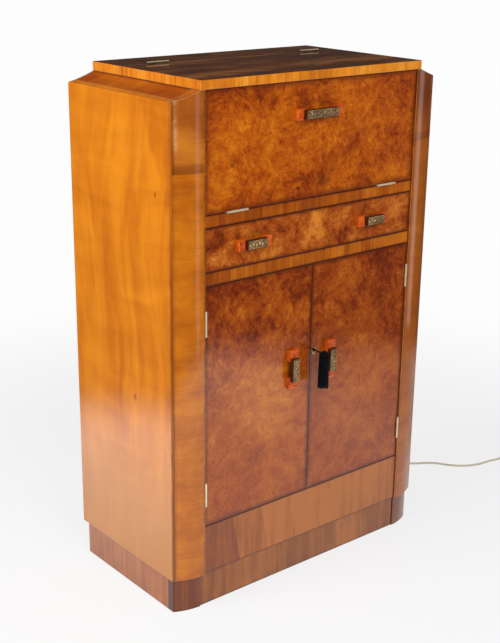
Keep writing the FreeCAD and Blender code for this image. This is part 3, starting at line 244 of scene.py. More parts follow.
# Burr panels: knots are (x, z, radius, depth), patches are (x, z, radius, change of tone), and "calm"
# draws the tone below a height towards one level: (low, high, share, level)
fallBurr = {
    "dark": (0.13, 0.017, 0.0008), "deep": (0.31, 0.044, 0.001), "mid": (0.51, 0.099, 0.0014),
    "light": (0.78, 0.235, 0.006), "knot": (0.05, 0.008, 0.001), "rim": (0.14, 0.018, 0.001), "shift": 0.0,
    "edge": 0.018, "curl": 58, "swirl": 0.03, "flow": (1, 1, 1.9), "lean": 0.2, "lift": 0.0}
doorBurr = {
    **fallBurr, "dark": (0.09, 0.01, 0.0008), "rim": (0.09, 0.012, 0.001), "edge": 0.014, "curl": 56,
    "flow": (1.7, 1, 1)}
burrPanels = {
    "fall_panel": {
        **fallBurr, "name": "burrFall",
        "knots": [
            (-0.052, 1.003, 0.007, 0.85), (-0.07, 0.982, 0.005, 0.9), (0.055, 0.99, 0.005, 0.9),
            (0.021, 1.012, 0.018, 0.5), (-0.249, 1.078, 0.005, 0.6), (-0.14, 1.14, 0.003, 0.7),
            (0.2, 1.1, 0.003, 0.7)],
        "patches": [
            (-0.148, 1.222, 0.05, -0.13), (-0.3, 1.225, 0.09, -0.12), (0.0, 1.25, 0.1, -0.06),
            (0.26, 1.19, 0.11, -0.07), (0.3, 1.05, 0.06, -0.06), (-0.03, 1.0, 0.06, -0.07),
            (-0.24, 1.16, 0.09, 0.06), (-0.145, 1.088, 0.08, 0.05), (0.0, 1.112, 0.07, 0.05),
            (0.1, 1.17, 0.07, 0.04), (0.238, 1.021, 0.06, 0.04), (-0.29, 1.035, 0.05, 0.04)]},
    "door_left_panel": {
        **doorBurr, "name": "burrDoorLeft", "shift": 3.0, "lean": 0.7, "calm": (0.42, 0.68, 0.45, 0.64),
        "deep": (0.22, 0.029, 0.0012), "mid": (0.38, 0.068, 0.002), "light": (0.66, 0.19, 0.01),
        "knots": [(-0.255, 0.66, 0.004, 0.6), (-0.12, 0.44, 0.003, 0.6), (-0.3, 0.38, 0.003, 0.5)],
        "patches": [
            (-0.28, 0.775, 0.06, -0.16), (-0.04, 0.775, 0.06, -0.13), (-0.188, 0.655, 0.08, -0.09),
            (-0.3, 0.69, 0.05, -0.08), (-0.215, 0.8, 0.08, -0.06), (-0.24, 0.72, 0.06, 0.05),
            (-0.1, 0.74, 0.05, 0.05), (-0.2, 0.52, 0.14, 0.19), (-0.11, 0.44, 0.1, 0.12), (-0.26, 0.37, 0.08, 0.06),
            (-0.1, 0.56, 0.07, 0.06)]},
    "door_right_panel": {
        **doorBurr, "name": "burrDoorRight", "shift": 5.3, "lean": -0.6, "calm": (0.42, 0.68, 0.42, 0.61),
        "deep": (0.21, 0.028, 0.0012), "mid": (0.36, 0.062, 0.002), "light": (0.62, 0.17, 0.01),
        "knots": [(0.1, 0.66, 0.003, 0.6), (0.2, 0.6, 0.004, 0.5), (0.08, 0.35, 0.003, 0.5)],
        "patches": [
            (0.25, 0.79, 0.09, -0.1), (0.24, 0.69, 0.06, -0.05), (0.04, 0.6, 0.05, -0.08),
            (0.156, 0.28, 0.05, -0.07), (0.285, 0.295, 0.05, -0.08), (0.04, 0.79, 0.05, -0.08),
            (0.124, 0.742, 0.05, 0.05), (0.06, 0.66, 0.06, 0.05), (0.16, 0.4, 0.07, 0.06), (0.06, 0.39, 0.06, 0.06),
            (0.2, 0.5, 0.11, 0.14), (0.235, 0.225, 0.05, 0.05)]},
    "drawer_front": {
        **fallBurr, "name": "burrDrawer", "shift": 9.1, "edge": 0.009, "curl": 50, "swirl": 0.052,
        "flow": (1, 1, 1.4), "lean": 0.3, "lift": 0.06, "dark": (0.075, 0.009, 0.001), "deep": (0.24, 0.034, 0.002),
        "mid": (0.42, 0.08, 0.005), "light": (0.76, 0.24, 0.026), "knot": (0.05, 0.008, 0.002),
        "rim": (0.1, 0.014, 0.002),
        "knots": [
            (-0.235, 0.915, 0.008, 0.6), (-0.175, 0.922, 0.006, 0.5), (0.104, 0.882, 0.009, 0.6),
            (0.05, 0.862, 0.005, 0.5)],
        "patches": [
            (-0.285, 0.912, 0.035, -0.12), (-0.126, 0.915, 0.04, -0.1), (0.1, 0.885, 0.035, -0.1),
            (0.01, 0.908, 0.045, 0.11), (-0.285, 0.87, 0.03, 0.1), (-0.05, 0.885, 0.04, 0.05),
            (0.285, 0.905, 0.04, 0.09), (-0.21, 0.92, 0.02, 0.08)]}}
plainWalnut = (0.4, 0.13, 0.028)


def burr(nodeName, look):
    tree = Tree(look["name"])
    flat = tree.flat()
    where = tree.stretch(flat, shift=(look["shift"], 0, look["shift"] * 0.7))
    bent = tree.warp(where, 0.1, 5, 2, 0.5, 0.3)
    curled = tree.warp(bent, look["swirl"], 24, 3, 0.55, 0.4)
    curls = tree.noise(curled, look["curl"], 5, 0.68, 0.5)
    fine = tree.noise(curled, 190, 3, 0.6, 0.3)
    clumps = tree.noise(bent, 19, 3, 0.55, 0.5)
    clouds = tree.noise(where, 6, 2, 0.5, 0.3)
    wisps = tree.noise(tree.stretch(curled, look["flow"], (0, look["lean"], 0)), 95, 4, 0.6, 0.3)
    tone = curls * 0.66 + fine * 0.34 + wisps * 0.28 + clumps * 0.6 + clouds * 0.3 + (look["lift"] - 0.585)
    x, z = tree.axis(flat, "X"), tree.axis(flat, "Z")
    wobble = tree.noise(flat, 30, 4, 0.62, 0.6) - 0.5
    for px, pz, radius, amount in look["patches"]:
        away = apart(x - px, z - pz) + wobble * radius * 1.5
        tone = tone + tree.spread(away, radius * 0.15, radius * 1.2, amount, 0)
    if "calm" in look:
        low, high, share, level = look["calm"]
        tone = tone + (level - tone) * tree.spread(z, low, high, share, 0)
    colour = tree.tones(tone, look, dark=0.2, deep=0.38, mid=0.53, light=0.8)
    knots = []
    for px, pz, radius, depth in look["knots"]:
        away = apart(x - px, (z - pz) * 1.25) + wobble * radius * 3
        knots.append(tree.spread(away, radius * 0.1, radius * 1.6, depth, 0))
    colour = tree.mix(reduce(Wire.larger, knots), colour, look["knot"])
    # painted shade and grime darken the panel's edges
    colour = tree.mix(grimeAndShade(tree, flat, nodeName, look["edge"]), colour, look["rim"])
    # the side that shows only open is plain straight-grained walnut
    long = tree.stretch(bent, (1, 1, 0.08))
    plain = tree.ramp(tree.noise(long, 34, 4, 0.6, 0.5) * 0.75 + tree.noise(long, 420, 3, 0.6) * 0.3,
                      (0.3, look["deep"]), (0.75, plainWalnut))
    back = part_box(nodeName)[1][1]
    colour = tree.mix(tree.spread(tree.axis(flat, "Y"), back - 0.0012, back - 0.0006), colour, plain)
    return polished(tree, colour, curls * 0.6 + fine * 0.4)


def straight(name, look, shift, joints=(), turnsCorner=False):
    # fine upright grain, with a change of tone and a seam at each joint
    tree = Tree(name)
    flat = tree.flat()
    fine = tree.stretch(tree.warp(flat, 0.012, 9), (1, 1, 0.06), shift=(shift, shift, shift))
    grain = tree.noise(fine, 240, 4, 0.6, 0.3)
    tone = grain * 0.34 + tree.noise(fine, 45, 4, 0.55, 0.5) * 0.62 + tree.noise(flat, 14, 3, 0.55) * 0.3 - 0.13
    if joints:
        run = tree.axis(flat, "X") + (tree.axis(flat, "Y") if turnsCorner else tree.axis(flat, "Z") * look["slant"])
    for place, change in joints:
        tone = tone + tree.spread(run, place - look["soft"], place + look["soft"], 0, change, smooth=False)
    colour = tree.tones(tone, look, dark=0.2, mid=0.5, light=0.8)
    for place, change in joints:
        seam = tree.spread(abs(run - place), 0.0003, look["seamWidth"], look["seamShare"], 0)
        colour = tree.mix(seam, colour, look["seam"])
    return tree, colour, grain, flat


print("veneer makers ready")

# The flex follows the route of the CAD model, in mm from where the relief ends, and winds up in a coil
flexLook = {
    "diameter": 0.006, "coilRadius": 0.04, "pitch": 0.0066, "layer": 0.0066, "halfTurnsIn": 3, "perHalf": 8,
    "reliefEnd": (0.365, 0.443 + frontY, 0),
    "route": [
        (0, 0, 150), (0, 25, 150), (1, 48, 139), (3, 65, 119), (6, 74, 91), (10, 77, 61), (18, 77, 32), (36, 75, 11),
        (66, 68, 3), (104, 50, 3), (144, 20, 3), (180, -20, 3), (211, -69, 3), (237, -124, 3), (268, -171, 3),
        (303, -204, 3), (335, -222, 3), (361, -245, 3), (379, -276, 3), (403, -303, 3), (433, -322, 3),
        (466, -332, 3), (503, -335, 3), (537, -344, 3), (569, -341, 3), (601, -341, 3)]}
cordPoints = [Vector(flexLook["reliefEnd"]) + Vector(spot) / 1000 for spot in flexLook["route"]]


def windCoil(start):
    # half turns that shrink on the floor, one that climbs, and as many that grow on top
    turns, perHalf = flexLook["halfTurnsIn"], flexLook["perHalf"]
    radii = [flexLook["coilRadius"] - flexLook["pitch"] / 2 * number for number in range(turns + 1)]
    radii += radii[-2::-1]
    spots = [start]
    here, side, way = start.copy(), Vector((0, -1, 0)), Vector((1, 0, 0))
    for number, radius in enumerate(radii):
        centre = here + side * radius
        rise = flexLook["layer"] if number == turns else 0
        for share in range(1, perHalf + 1):
            angle = math.pi * (share - 0.5) / perHalf
            wide = radius / math.cos(math.pi / perHalf / 2)
            spot = centre - side * (math.cos(angle) * wide) + way * (math.sin(angle) * wide)
            spot.z = here.z + rise * (share - 0.5) / perHalf
            spots.append(spot)
        here = here + side * (2 * radius)
        here.z += rise
        side, way = -side, -way
    return spots + [here]


coilSpots = windCoil(cordPoints[-1] + Vector((flexLook["diameter"], 0, 0)))
coilEnd = coilSpots[-1]
flexCurve = bpy.data.curves.new("flex", "CURVE")
flexCurve.dimensions = "3D"
spline = flexCurve.splines.new("NURBS")
allSpots = cordPoints + coilSpots + [coilEnd - Vector((flexLook["diameter"], 0, 0))]
spline.points.add(len(allSpots) - 1)
for point, spot in zip(spline.points, allSpots):
    point.co = (*spot, 1)
    point.radius = flexLook["diameter"] / 2  # in metres, so the curve's own box is true
spline.order_u = 3
spline.use_endpoint_u = True
spline.resolution_u = 6
flexCurve.bevel_depth = 1.0
flexCurve.bevel_resolution = 4
flexCurve.use_fill_caps = True
flex = bpy.data.objects.new("flex", flexCurve)
scene.collection.objects.link(flex)
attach(flex, "cabinet")
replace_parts(flex, "cord_run", "cord_coil")
print("flex laid, coil ends at", tuple(round(c, 4) for c in coilEnd))

# The studio: the eye, glass and the silvered mirror see white paper and a white backdrop. The polish mirrors
# overlit paper, brightest by the left lamp, past it a dark room, and two upright white cards
studio = {
    "floorRadius": 2.6, "fadeFrom": 0.9, "fadeTo": 2.3, "shadowShare": 0.23, "white": 0.985, "worldLight": 0.28,
    "darkRoom": 0.03, "paperTone": (0.9, 0.9, 0.905), "paperGlow": (0.7, 1.6, 0.85, 1.25),
    "paperMiddle": (0.14, -0.17), "paperEdge": (1.38, 1.85), "leftGlow": (-0.75, -0.3, 0.75, 0),
    "leftGlowDepth": (-0.25, 0.25), "rightFade": (0.6, 1.2, 1, 0.42),
    "cards": {
        "leftCard": {"place": (0.34, -1.8), "turn": 0.4, "width": 0.34, "glow": 1.25},
        "rightCard": {"place": (1.85, -1.05), "turn": 1.005, "width": 0.66, "glow": 1.5}}}


def rayKinds(tree):
    camera, glass, glossy, sharp = (tree.node("LightPath", output="Is %s Ray" % kind)
                                    for kind in ("Camera", "Transmission", "Glossy", "Singular"))
    return camera.larger(glass).larger(sharp), glossy * (1 - sharp)


def emission(tree, strength):
    return tree.node("Emission", None, {"Color": (1, 1, 1), "Strength": strength})


def makeObject(made, name, material):
    mesh = bpy.data.meshes.new(name)
    made.to_mesh(mesh)
    made.free()
    mesh.materials.append(material)
    thing = bpy.data.objects.new(name, mesh)
    scene.collection.objects.link(thing)
    return thing


scene.world = bpy.data.worlds.new("studio")
sky = Tree("studio", world=True)
seen, mirrored = rayKinds(sky)
strength = (seen * (studio["white"] - studio["worldLight"]) + mirrored * (studio["darkRoom"] - studio["worldLight"])
            + studio["worldLight"])
sky.shade(sky.node("Background", None, {"Color": (1, 1, 1), "Strength": strength}))

sheet = Tree("paperFloor")
spot = sheet.flat()
x, y = sheet.axis(spot, "X"), sheet.axis(spot, "Y")
reach = apart(x, y)
fade = sheet.spread(reach, studio["fadeFrom"], studio["fadeTo"], studio["shadowShare"], 0)
paper = sheet.node("BsdfDiffuse", None, {"Color": studio["paperTone"]})
seen, mirrored = rayKinds(sheet)
blendIn = sheet.node("MixShader", None, {0: fade, 1: emission(sheet, studio["white"]), 2: paper})
seenFloor = sheet.node("MixShader", None, {0: seen, 1: paper, 2: blendIn})
out = apart(x - studio["paperMiddle"][0], y - studio["paperMiddle"][1])
lit = (sheet.spread(x, *studio["leftGlow"]) * sheet.spread(y, *studio["leftGlowDepth"])
       + sheet.spread(reach, *studio["paperGlow"])) * sheet.spread(x, *studio["rightFade"])
lit = lit * sheet.spread(out, *studio["paperEdge"], 1, 0) + studio["darkRoom"]
made = bmesh.new()
bmesh.ops.create_circle(made, cap_ends=True, segments=96, radius=studio["floorRadius"])
bmesh.ops.translate(made, verts=made.verts, vec=(0, 0, -0.0002))
floorLight = sheet.node("MixShader", None, {0: mirrored, 1: seenFloor, 2: emission(sheet, lit)})
makeObject(made, "floor", sheet.shade(floorLight))

for name, look in studio["cards"].items():
    white = Tree(name)
    spot = white.flat()
    off = apart(white.axis(spot, "X") - look["place"][0], white.axis(spot, "Y") - look["place"][1])
    glow = white.spread(off, 0, look["width"] / 2, look["glow"], 0)
    made = bmesh.new()
    stand = (Matrix.Translation((*look["place"], 1.0)) @ Matrix.Rotation(look["turn"], 4, "Z")
             @ Matrix.Rotation(math.pi / 2, 4, "X") @ Matrix.Diagonal((look["width"], 2.0, 1, 1)))
    bmesh.ops.create_grid(made, x_segments=1, y_segments=1, size=0.5, matrix=stand)
    card = makeObject(made, name, white.shade(emission(white, glow)))
    for flag in ("camera", "diffuse", "transmission", "shadow"):
        setattr(card, "visible_" + flag, False)

lamps = {
    "leftBox": {"place": (-2.7, 0.1, 2.5), "aim": (-0.4, 0.1, 1), "size": (1.8, 1.6), "power": 68, "mirrored": True},
    "frontBox": {"place": (-0.9, -3, 2.6), "aim": (0, 0, 0.9), "size": (2, 1.4), "power": 62, "mirrored": False},
    "rightBox": {"place": (3.4, -1.6, 2.2), "aim": (0, 0, 0.7), "size": (1, 2.2), "power": 8, "mirrored": True}}
for name, look in lamps.items():
    light = bpy.data.lights.new(name, "AREA")
    light.shape = "RECTANGLE"
    light.size, light.size_y = look["size"]
    light.energy = look["power"]
    lamp = bpy.data.objects.new(name, light)
    away = Vector(look["place"]) - Vector(look["aim"])
    lamp.matrix_world = Matrix.Translation(look["place"]) @ away.to_track_quat("Z", "Y").to_matrix().to_4x4()
    lamp.visible_glossy = look["mirrored"]
    scene.collection.objects.link(lamp)
print("floor, studio and lamps set")

for nodeName, look in burrPanels.items():
    wear([nodeName], burr(nodeName, look))

# Honey-coloured sides and shoulders: knots are (y from the slab's front, z, radius)
sideLook = {
    "low": (0.62, 0.165, 0.005), "high": (0.84, 0.275, 0.01), "deep": (0.46, 0.1, 0.003),
    "foot": (0.52, 0.19, 0.025), "grimeAndShade": (0.12, 0.02, 0.002), "knot": (0.22, 0.035, 0.002), "frontDarkening": 0.7,
    "worn": 0.3, "coat": 1.0, "knots": [(0.073, 1.022, 0.005), (0.166, 0.519, 0.007)]}
shoulderLook = {
    **sideLook, "low": (0.33, 0.06, 0.002), "high": (0.48, 0.115, 0.005), "deep": (0.23, 0.036, 0.002),
    "frontDarkening": 0, "worn": 0.55, "coat": 0.4}


def honeySide(name, look):
    tree = Tree(name)
    flat = tree.flat()
    y, z = tree.axis(flat, "Y"), tree.axis(flat, "Z")
    bent = tree.warp(flat, 0.1, 3.2)
    figure = tree.noise(tree.stretch(bent, (1, 1, 0.14)), 16, 4, 0.5, 0.8)
    pores = tree.noise(tree.stretch(flat, (1, 1, 0.03)), 420, 3, 0.6)
    cross = tree.noise(tree.stretch(bent, (1, 0.35, 1.6), (0.5, 0, 0)), 9, 3, 0.5, 0.6)
    broad = tree.noise(tree.stretch(flat, (1, 1, 0.3), (0.25, 0, 0)), 5.5, 2, 0.5, 0.4)
    # a paler slanted tongue near the top, as the tree's fork was cut
    slant = tree.spread(y - (z - 1.1) * 0.42 + (figure - 0.5) * 0.06, -0.115, -0.105, 0, 0.09, smooth=False)
    tone = figure * 0.62 + cross * 0.34 + broad * 0.44 + pores * 0.16 - 0.28 + slant
    colour = tree.tones(tone, look, deep=0.25, low=0.5, high=0.74)
    # painted shade: towards the foot the side is coloured darker and duller, as less light falls there
    colour = tree.mix(tree.spread(z, 0.15, 0.55, 0.75, 0), colour, look["foot"])
    knots = []
    for py, pz, radius in look["knots"]:
        away = apart(y - py - frontY, (z - pz) * 0.7)
        knots.append(tree.spread(away, radius * 0.3, radius * 1.3, 0.6, 0))
    colour = tree.mix(reduce(Wire.larger, knots), colour, look["knot"])
    # the side is darker along its front edge, and painted shade lies in the gap under the slab
    front = tree.spread(y + (cross - 0.5) * 0.004, frontY + 0.0206, frontY + 0.0246, look["frontDarkening"], 0)
    colour = tree.mix(front * tree.spread(z, 0.75, 1.0, 1, 0.4), colour, look["grimeAndShade"])
    under = tree.spread(abs(tree.axis(flat, "X")), slabX + 0.0015, slabX + 0.0075, 0.92, 0)
    colour = tree.mix(under, colour, look["grimeAndShade"])
    return polished(tree, colour, pores * 0.6 + figure * 0.4, look["worn"], look["coat"])


wear(["side_panel_left", "side_panel_right"], honeySide("honeySide", sideLook))
wear(["shoulder_left", "shoulder_right"], honeySide("honeyShoulder", shoulderLook))

# Bowed posts: a length of darker veneer meets a lighter, cross-banded one at the joint
postLook = {
    "joint": 1.0742, "upperDark": (0.22, 0.045, 0.004), "upperMid": (0.4, 0.1, 0.008),
    "upperLight": (0.6, 0.19, 0.016), "bandDark": (0.34, 0.075, 0.002), "bandMid": (0.55, 0.145, 0.004),
    "bandLight": (0.72, 0.23, 0.008), "rightShadeShare": 0.34, "rightShade": (0.22, 0.03, 0.001),
    "grimeAndShade": (0.13, 0.02, 0.002), "paintedSheen": (0.76, 0.4, 0.17)}


def bowedPost(name, look):
    tree = Tree(name)
    flat = tree.flat()
    x, z = tree.axis(flat, "X"), tree.axis(flat, "Z")
    away = abs(x)
    joint = look["joint"]
    bent = tree.warp(flat, 0.02, 6)
    lines = tree.noise(tree.stretch(bent, (0.05, 0.05, 1.0)), 330, 3, 0.6, 0.1)
    bands = tree.noise(tree.stretch(bent, (0.16, 0.16, 1.0)), 22, 4, 0.6, 0.2)
    mottle = tree.noise(bent, 30, 4, 0.6, 0.6)
    cloud = tree.noise(flat, 10, 3, 0.5)
    upper = tree.tones(cloud * 0.8 + bands * 0.4 + lines * 0.25 - 0.22 - tree.spread(z, 1.13, 1.21, 0, 0.16),
                       look, upperDark=0.26, upperMid=0.5, upperLight=0.74)
    lower = tree.tones(lines * 0.3 + bands * 0.55 + mottle * 0.35 + cloud * 0.3 - 0.25,
                       look, bandDark=0.26, bandMid=0.5, bandLight=0.74)
    colour = tree.mix(tree.spread(z, joint - 0.0004, joint + 0.0004), lower, upper)
    # painted shade: the right post, turned away from the lamps, is coloured darker
    colour = tree.mix(tree.spread(x, -0.1, 0.1, 0, look["rightShadeShare"]), colour, look["rightShade"])
    # painted reflection: the outer part of each post's upper length is coloured pale, for the bright backdrop
    # mirrored in its polish
    paintedSheen = tree.spread(away, sideX - 0.023, sideX - 0.011) * tree.spread(z, 1.09, 1.14)
    colour = tree.mix(paintedSheen * tree.spread(mottle, 0.4, 0.6, 0.1, 0.5), colour, look["paintedSheen"])
    # a dark band lies over the joint, grime along the outer arris with specks down it, and painted shade along the
    # inner arris, where the post meets the opening
    band = (tree.spread(z + (mottle - 0.5) * 0.006, joint + 0.016, joint + 0.022, 0.35, 0)
            * tree.spread(z, joint, joint + 0.002))
    ragged = away + (mottle - 0.5) * 0.003
    specks = tree.spread(tree.noise(tree.stretch(flat, (1, 1, 0.5)), 75, 2, 0.5), 0.56, 0.66)
    arris = tree.spread(ragged, sideX - 0.0035, sideX - 0.0008) * 0.55
    arris = arris.larger(tree.spread(away, sideX - 0.0085, sideX - 0.0025) * specks * 0.9)
    margin = (tree.spread(ragged, sideX - 0.0125, sideX - 0.0095)
              * tree.spread(z, joint - 0.004, joint + 0.001, 0.25, 0.62))
    inner = tree.spread(away, openingX + 0.0015, openingX + 0.007, 0.6, 0) * tree.spread(mottle, 0.35, 0.6)
    seam = tree.spread(z, joint + 0.0001, joint + 0.0012, 1, 0) * tree.spread(z, joint - 0.0012, joint)
    for share in (band, arris + margin, inner, seam * 0.6):
        colour = tree.mix(share, colour, look["grimeAndShade"])
    return polished(tree, colour, lines, 0.8)


wear(["pilaster_left", "pilaster_right"], bowedPost("bowedPost", postLook))

# Rails and plinth: joints are (x, change of tone)
railLook = {
    "dark": (0.16, 0.024, 0.001), "mid": (0.36, 0.072, 0.002), "light": (0.64, 0.18, 0.007),
    "seam": (0.09, 0.014, 0.002), "seamShare": 0.55, "seamWidth": 0.0013, "slant": 0.0, "soft": 0.0006,
    "edge": 0.005, "edgeShare": 0.75}
rails = {
    "mid_rail": {
        "name": "midRailVeneer", "shift": 0.6,
        "joints": [(-0.25, 0.18), (-0.197, -0.12), (0.059, 0.16), (0.105, -0.14), (0.191, 0.12)]},
    "bar_rail": {
        "name": "barRailVeneer", "shift": 1.3, "mid": (0.41, 0.084, 0.002), "light": (0.7, 0.2, 0.007),
        "joints": [(-0.211, -0.1), (-0.1615, 0.14), (-0.096, -0.08), (0.016, 0.06), (0.15, 0.06)]},
    "bottom_rail": {
        "name": "bottomRailVeneer", "shift": 2.1, "dark": (0.13, 0.022, 0.002), "mid": (0.29, 0.066, 0.007),
        "light": (0.52, 0.155, 0.022), "slant": 0.2, "seamShare": 0.15,
        "joints": [(-0.197, 0.17), (-0.108, 0.11), (-0.015, 0.04), (0.12, -0.05), (0.27, -0.03)]},
    "plinth_front": {
        "name": "plinthVeneer", "shift": 4.2, "dark": (0.12, 0.024, 0.003), "mid": (0.3, 0.078, 0.009),
        "light": (0.54, 0.175, 0.026), "seamShare": 0.3,
        "joints": [(-0.25, 0.12), (-0.05, -0.12), (0.07, 0.08), (0.12, 0.06), (0.22, -0.08)]},
    "plinth_corners": {
        "name": "plinthCorner", "shift": 6.2, "dark": (0.08, 0.012, 0.002), "mid": (0.19, 0.038, 0.005),
        "light": (0.36, 0.09, 0.014), "joints": []}}
for nodeName, own in rails.items():
    look = {**railLook, **own}
    tree, colour, grain, flat = straight(look["name"], look, look["shift"], look["joints"])
    # painted shade and grime darken the rail's edges
    colour = tree.mix(grimeAndShade(tree, flat, nodeName, look["edge"], look["edgeShare"]), colour, look["seam"])
    wear([nodeName], polished(tree, colour, grain))
plinthSide = {"dark": (0.2, 0.04, 0.006), "mid": (0.4, 0.11, 0.018), "light": (0.56, 0.19, 0.035)}
wear(["plinth_frame"], polished(*straight("plinthSide", plinthSide, 7.7)[:3]))

topLook = {
    "dark": (0.088, 0.019, 0.003), "mid": (0.23, 0.064, 0.01), "light": (0.5, 0.18, 0.032),
    "under": (0.22, 0.05, 0.006), "seam": (0.12, 0.02, 0.002),
    "lidJoints": [
        (-0.5202, -0.05), (-0.4335, 0.1), (-0.4132, 0.05), (-0.3945, -0.12), (-0.3382, 0.08), (-0.2872, -0.06),
        (-0.2475, -0.1), (-0.1555, 0.12), (-0.0605, 0.06)],
    "stripJoints": [(0.0, 0.1)]}
slabEdge = {
    "dark": (0.4, 0.08, 0.003), "mid": (0.82, 0.25, 0.012), "light": (0.98, 0.45, 0.05), "seam": topLook["seam"],
    "seamShare": 0.5, "seamWidth": 0.0012, "soft": 0.0006}


def slabTop(name, look, joints):
    # the edge is banded upright round the corners; the top is dark figured walnut, and the underside plain
    tree, edge, grain, flat = straight(name, slabEdge, 0.4, joints, True)
    x, y, z = tree.axis(flat, "X"), tree.axis(flat, "Y"), tree.axis(flat, "Z")
    bent = tree.warp(flat, 0.09, 4.5)
    figure = tree.noise(tree.stretch(bent, (0.35, 1.5, 1), (0, 0, 0.12)), 13, 5, 0.55, 0.8)
    fine = tree.noise(tree.stretch(bent, (0.08, 1, 1)), 160, 3, 0.6)
    # one lighter leaf of veneer runs slantwise along the front
    streak = tree.spread(abs(y + 0.1 - x * 0.1 + (figure - 0.5) * 0.1), 0.012, 0.05, 0.16, 0)
    top = tree.tones(figure * 0.95 + fine * 0.35 - 0.17 + streak, look, dark=0.3, mid=0.52, light=0.74)
    colour = tree.mix(tree.spread(z, slabZ - 0.0008, slabZ - 0.0005), edge, top)
    under = tree.ramp(figure * 0.8 + fine * 0.35 - 0.1, (0.3, look["under"]), (0.72, plainWalnut))
    colour = tree.mix(tree.spread(z, slabLow[2] + 0.0003, slabLow[2] + 0.0009, 1, 0), colour, under)
    # dark line where the lid meets the fixed strip behind it
    colour = tree.mix(tree.spread(abs(y - slabBack), 0.0008, 0.002, 0.85, 0), colour, look["seam"])
    return polished(tree, colour, grain, 0.6)


wear(["lid_panel"], slabTop("slabVeneer", topLook, topLook["lidJoints"]))
wear(["top_strip"], slabTop("slabStrip", topLook, topLook["stripJoints"]))


def timber(name, dark, light, grain, along=(1, 1, 0.05), gloss=0.55, coat=0.0):
    tree = Tree(name)
    flat = tree.flat()
    rings = tree.noise(tree.stretch(tree.warp(flat, 0.04, 5), along), grain, 4, 0.55, 0.8)
    fibre = tree.noise(tree.stretch(flat, along), grain * 14, 3, 0.6)
    return tree.surface({
        "Base Color": tree.ramp(rings * 0.75 + fibre * 0.35 - 0.05, (0.25, dark), (0.72, light)),
        "Roughness": tree.spread(fibre, 0.2, 0.8, gloss + 0.08, gloss - 0.06),
        "Normal": tree.bump(fibre, 0.3, 0.0004), "Coat Weight": coat, "Coat Roughness": 0.2})


oak = {"dark": (0.42, 0.26, 0.12), "light": (0.62, 0.43, 0.23), "grain": 34}
acrossX = (0.05, 1, 1)
wear(["inner_side_left", "inner_side_right"], timber("stainedTimber", (0.16, 0.06, 0.02), (0.36, 0.16, 0.06), 30))
wear(["bottom_board", "dust_board", "bar_floor", "cupboard_shelf"],
     timber("boardTimber", (0.17, 0.065, 0.022), (0.38, 0.17, 0.065), 30, acrossX, coat=0.3))
wear(["back_panel"], timber("backPly", (0.22, 0.1, 0.038), (0.42, 0.22, 0.095), 22, gloss=0.7))
wear(["drawer_sides"], timber("drawerOak", **oak, along=(1, 0.05, 1), gloss=0.5))
wear(["drawer_back", "drawer_bottom"], timber("drawerOakAcross", **oak, along=acrossX))


def metal(name, colour, tarnish, roughness=0.3, share=0.5, metallic=1.0, shadedBelow=None):
    tree = Tree(name)
    flat = tree.flat()
    scratch = tree.noise(tree.stretch(flat, (1, 1, 0.2)), 900, 3, 0.6)
    dull = tree.spread(tree.noise(flat, 70, 5, 0.6, 0.4), 0.42, 0.7)
    colour = tree.mix(dull * share, colour, tarnish)
    if shadedBelow:
        # painted shade: on the slab the hinges are coloured dark below the knuckles' tops, which alone stay bright
        z = tree.axis(flat, "Z")
        dark = (tree.spread(z, shadedBelow - 0.0008, shadedBelow + 0.0008, 0.9, 0)
                * tree.spread(z, slabZ - 0.02, slabZ - 0.0199))
        colour = tree.mix(dark, colour, (0.06, 0.03, 0.012))
    return tree.surface({
        "Base Color": colour, "Metallic": metallic, "Normal": tree.bump(scratch, 0.2, 0.0001),
        "Roughness": dull * 0.22 + scratch * 0.12 + (roughness - 0.06)})


brass = metal("wornBrass", (0.83, 0.66, 0.36), (0.42, 0.3, 0.13))
hinge = metal("brightBrass", (0.93, 0.82, 0.58), (0.6, 0.46, 0.24), 0.3, 0.45, 0.5, slabZ + 0.004)
steel = metal("dulledSteel", (0.12, 0.1, 0.08), (0.04, 0.03, 0.025), 0.4)
wear([part + "_hinge_leaves" for part in ("carcass", "lid", "fall", "door_left", "door_right")], hinge)
wear(["fall_stays", "stay_keepers", "door_left_bolt", "door_left_bolt_plate", "door_lock", "lock_bolt",
      "shelf_studs", "lamp_caps"], brass)
wear(["key"], steel)

amber = {
    "dark": (0.34, 0.022, 0.002), "mid": (0.68, 0.085, 0.005), "light": (0.92, 0.21, 0.014),
    "fluteShade": (0.1, 0.008, 0.002)}


def castResin(name, look):
    tree = Tree(name)
    flat = tree.flat()
    swirl = tree.noise(tree.warp(flat, 0.02, 40), 60, 4, 0.55, 1.4)
    colour = tree.tones(swirl, look, dark=0.25, mid=0.48, light=0.75)
    # painted shade darkens the flutes and hollows
    fluteShadeMask = tree.node("AmbientOcclusion", {"samples": 4, "only_local": True}, {"Distance": 0.003}, "AO")
    colour = tree.mix(tree.spread(fluteShadeMask, 0.3, 0.85, 0.7, 0), colour, look["fluteShade"])
    return tree.surface({
        "Base Color": colour, "Roughness": 0.32, "Coat Weight": 0.45, "Coat Roughness": 0.14,
        "Subsurface Weight": 0.08, "Subsurface Radius": (0.006, 0.002, 0.001), "Normal": tree.rounded(0.0008)})


def darkResin(name):
    tree = Tree(name)
    swirl = tree.noise(tree.flat(), 90, 4, 0.55, 1.0)
    return tree.surface({
        "Base Color": tree.ramp(swirl, (0.3, (0.015, 0.003, 0.003)), (0.7, (0.07, 0.012, 0.008))),
        "Roughness": 0.25, "Coat Weight": 0.4, "Coat Roughness": 0.08, "Normal": tree.rounded(0.0006)})


handles = ("fall", "drawer", "door_left", "door_right")
wear([part + "_handle_blocks" for part in handles], castResin("amberResin", amber))
wear(["fall_handle_bar", "drawer_handle_bars", "door_left_handle_bar", "door_right_handle_bar"],
     darkResin("darkResin"))


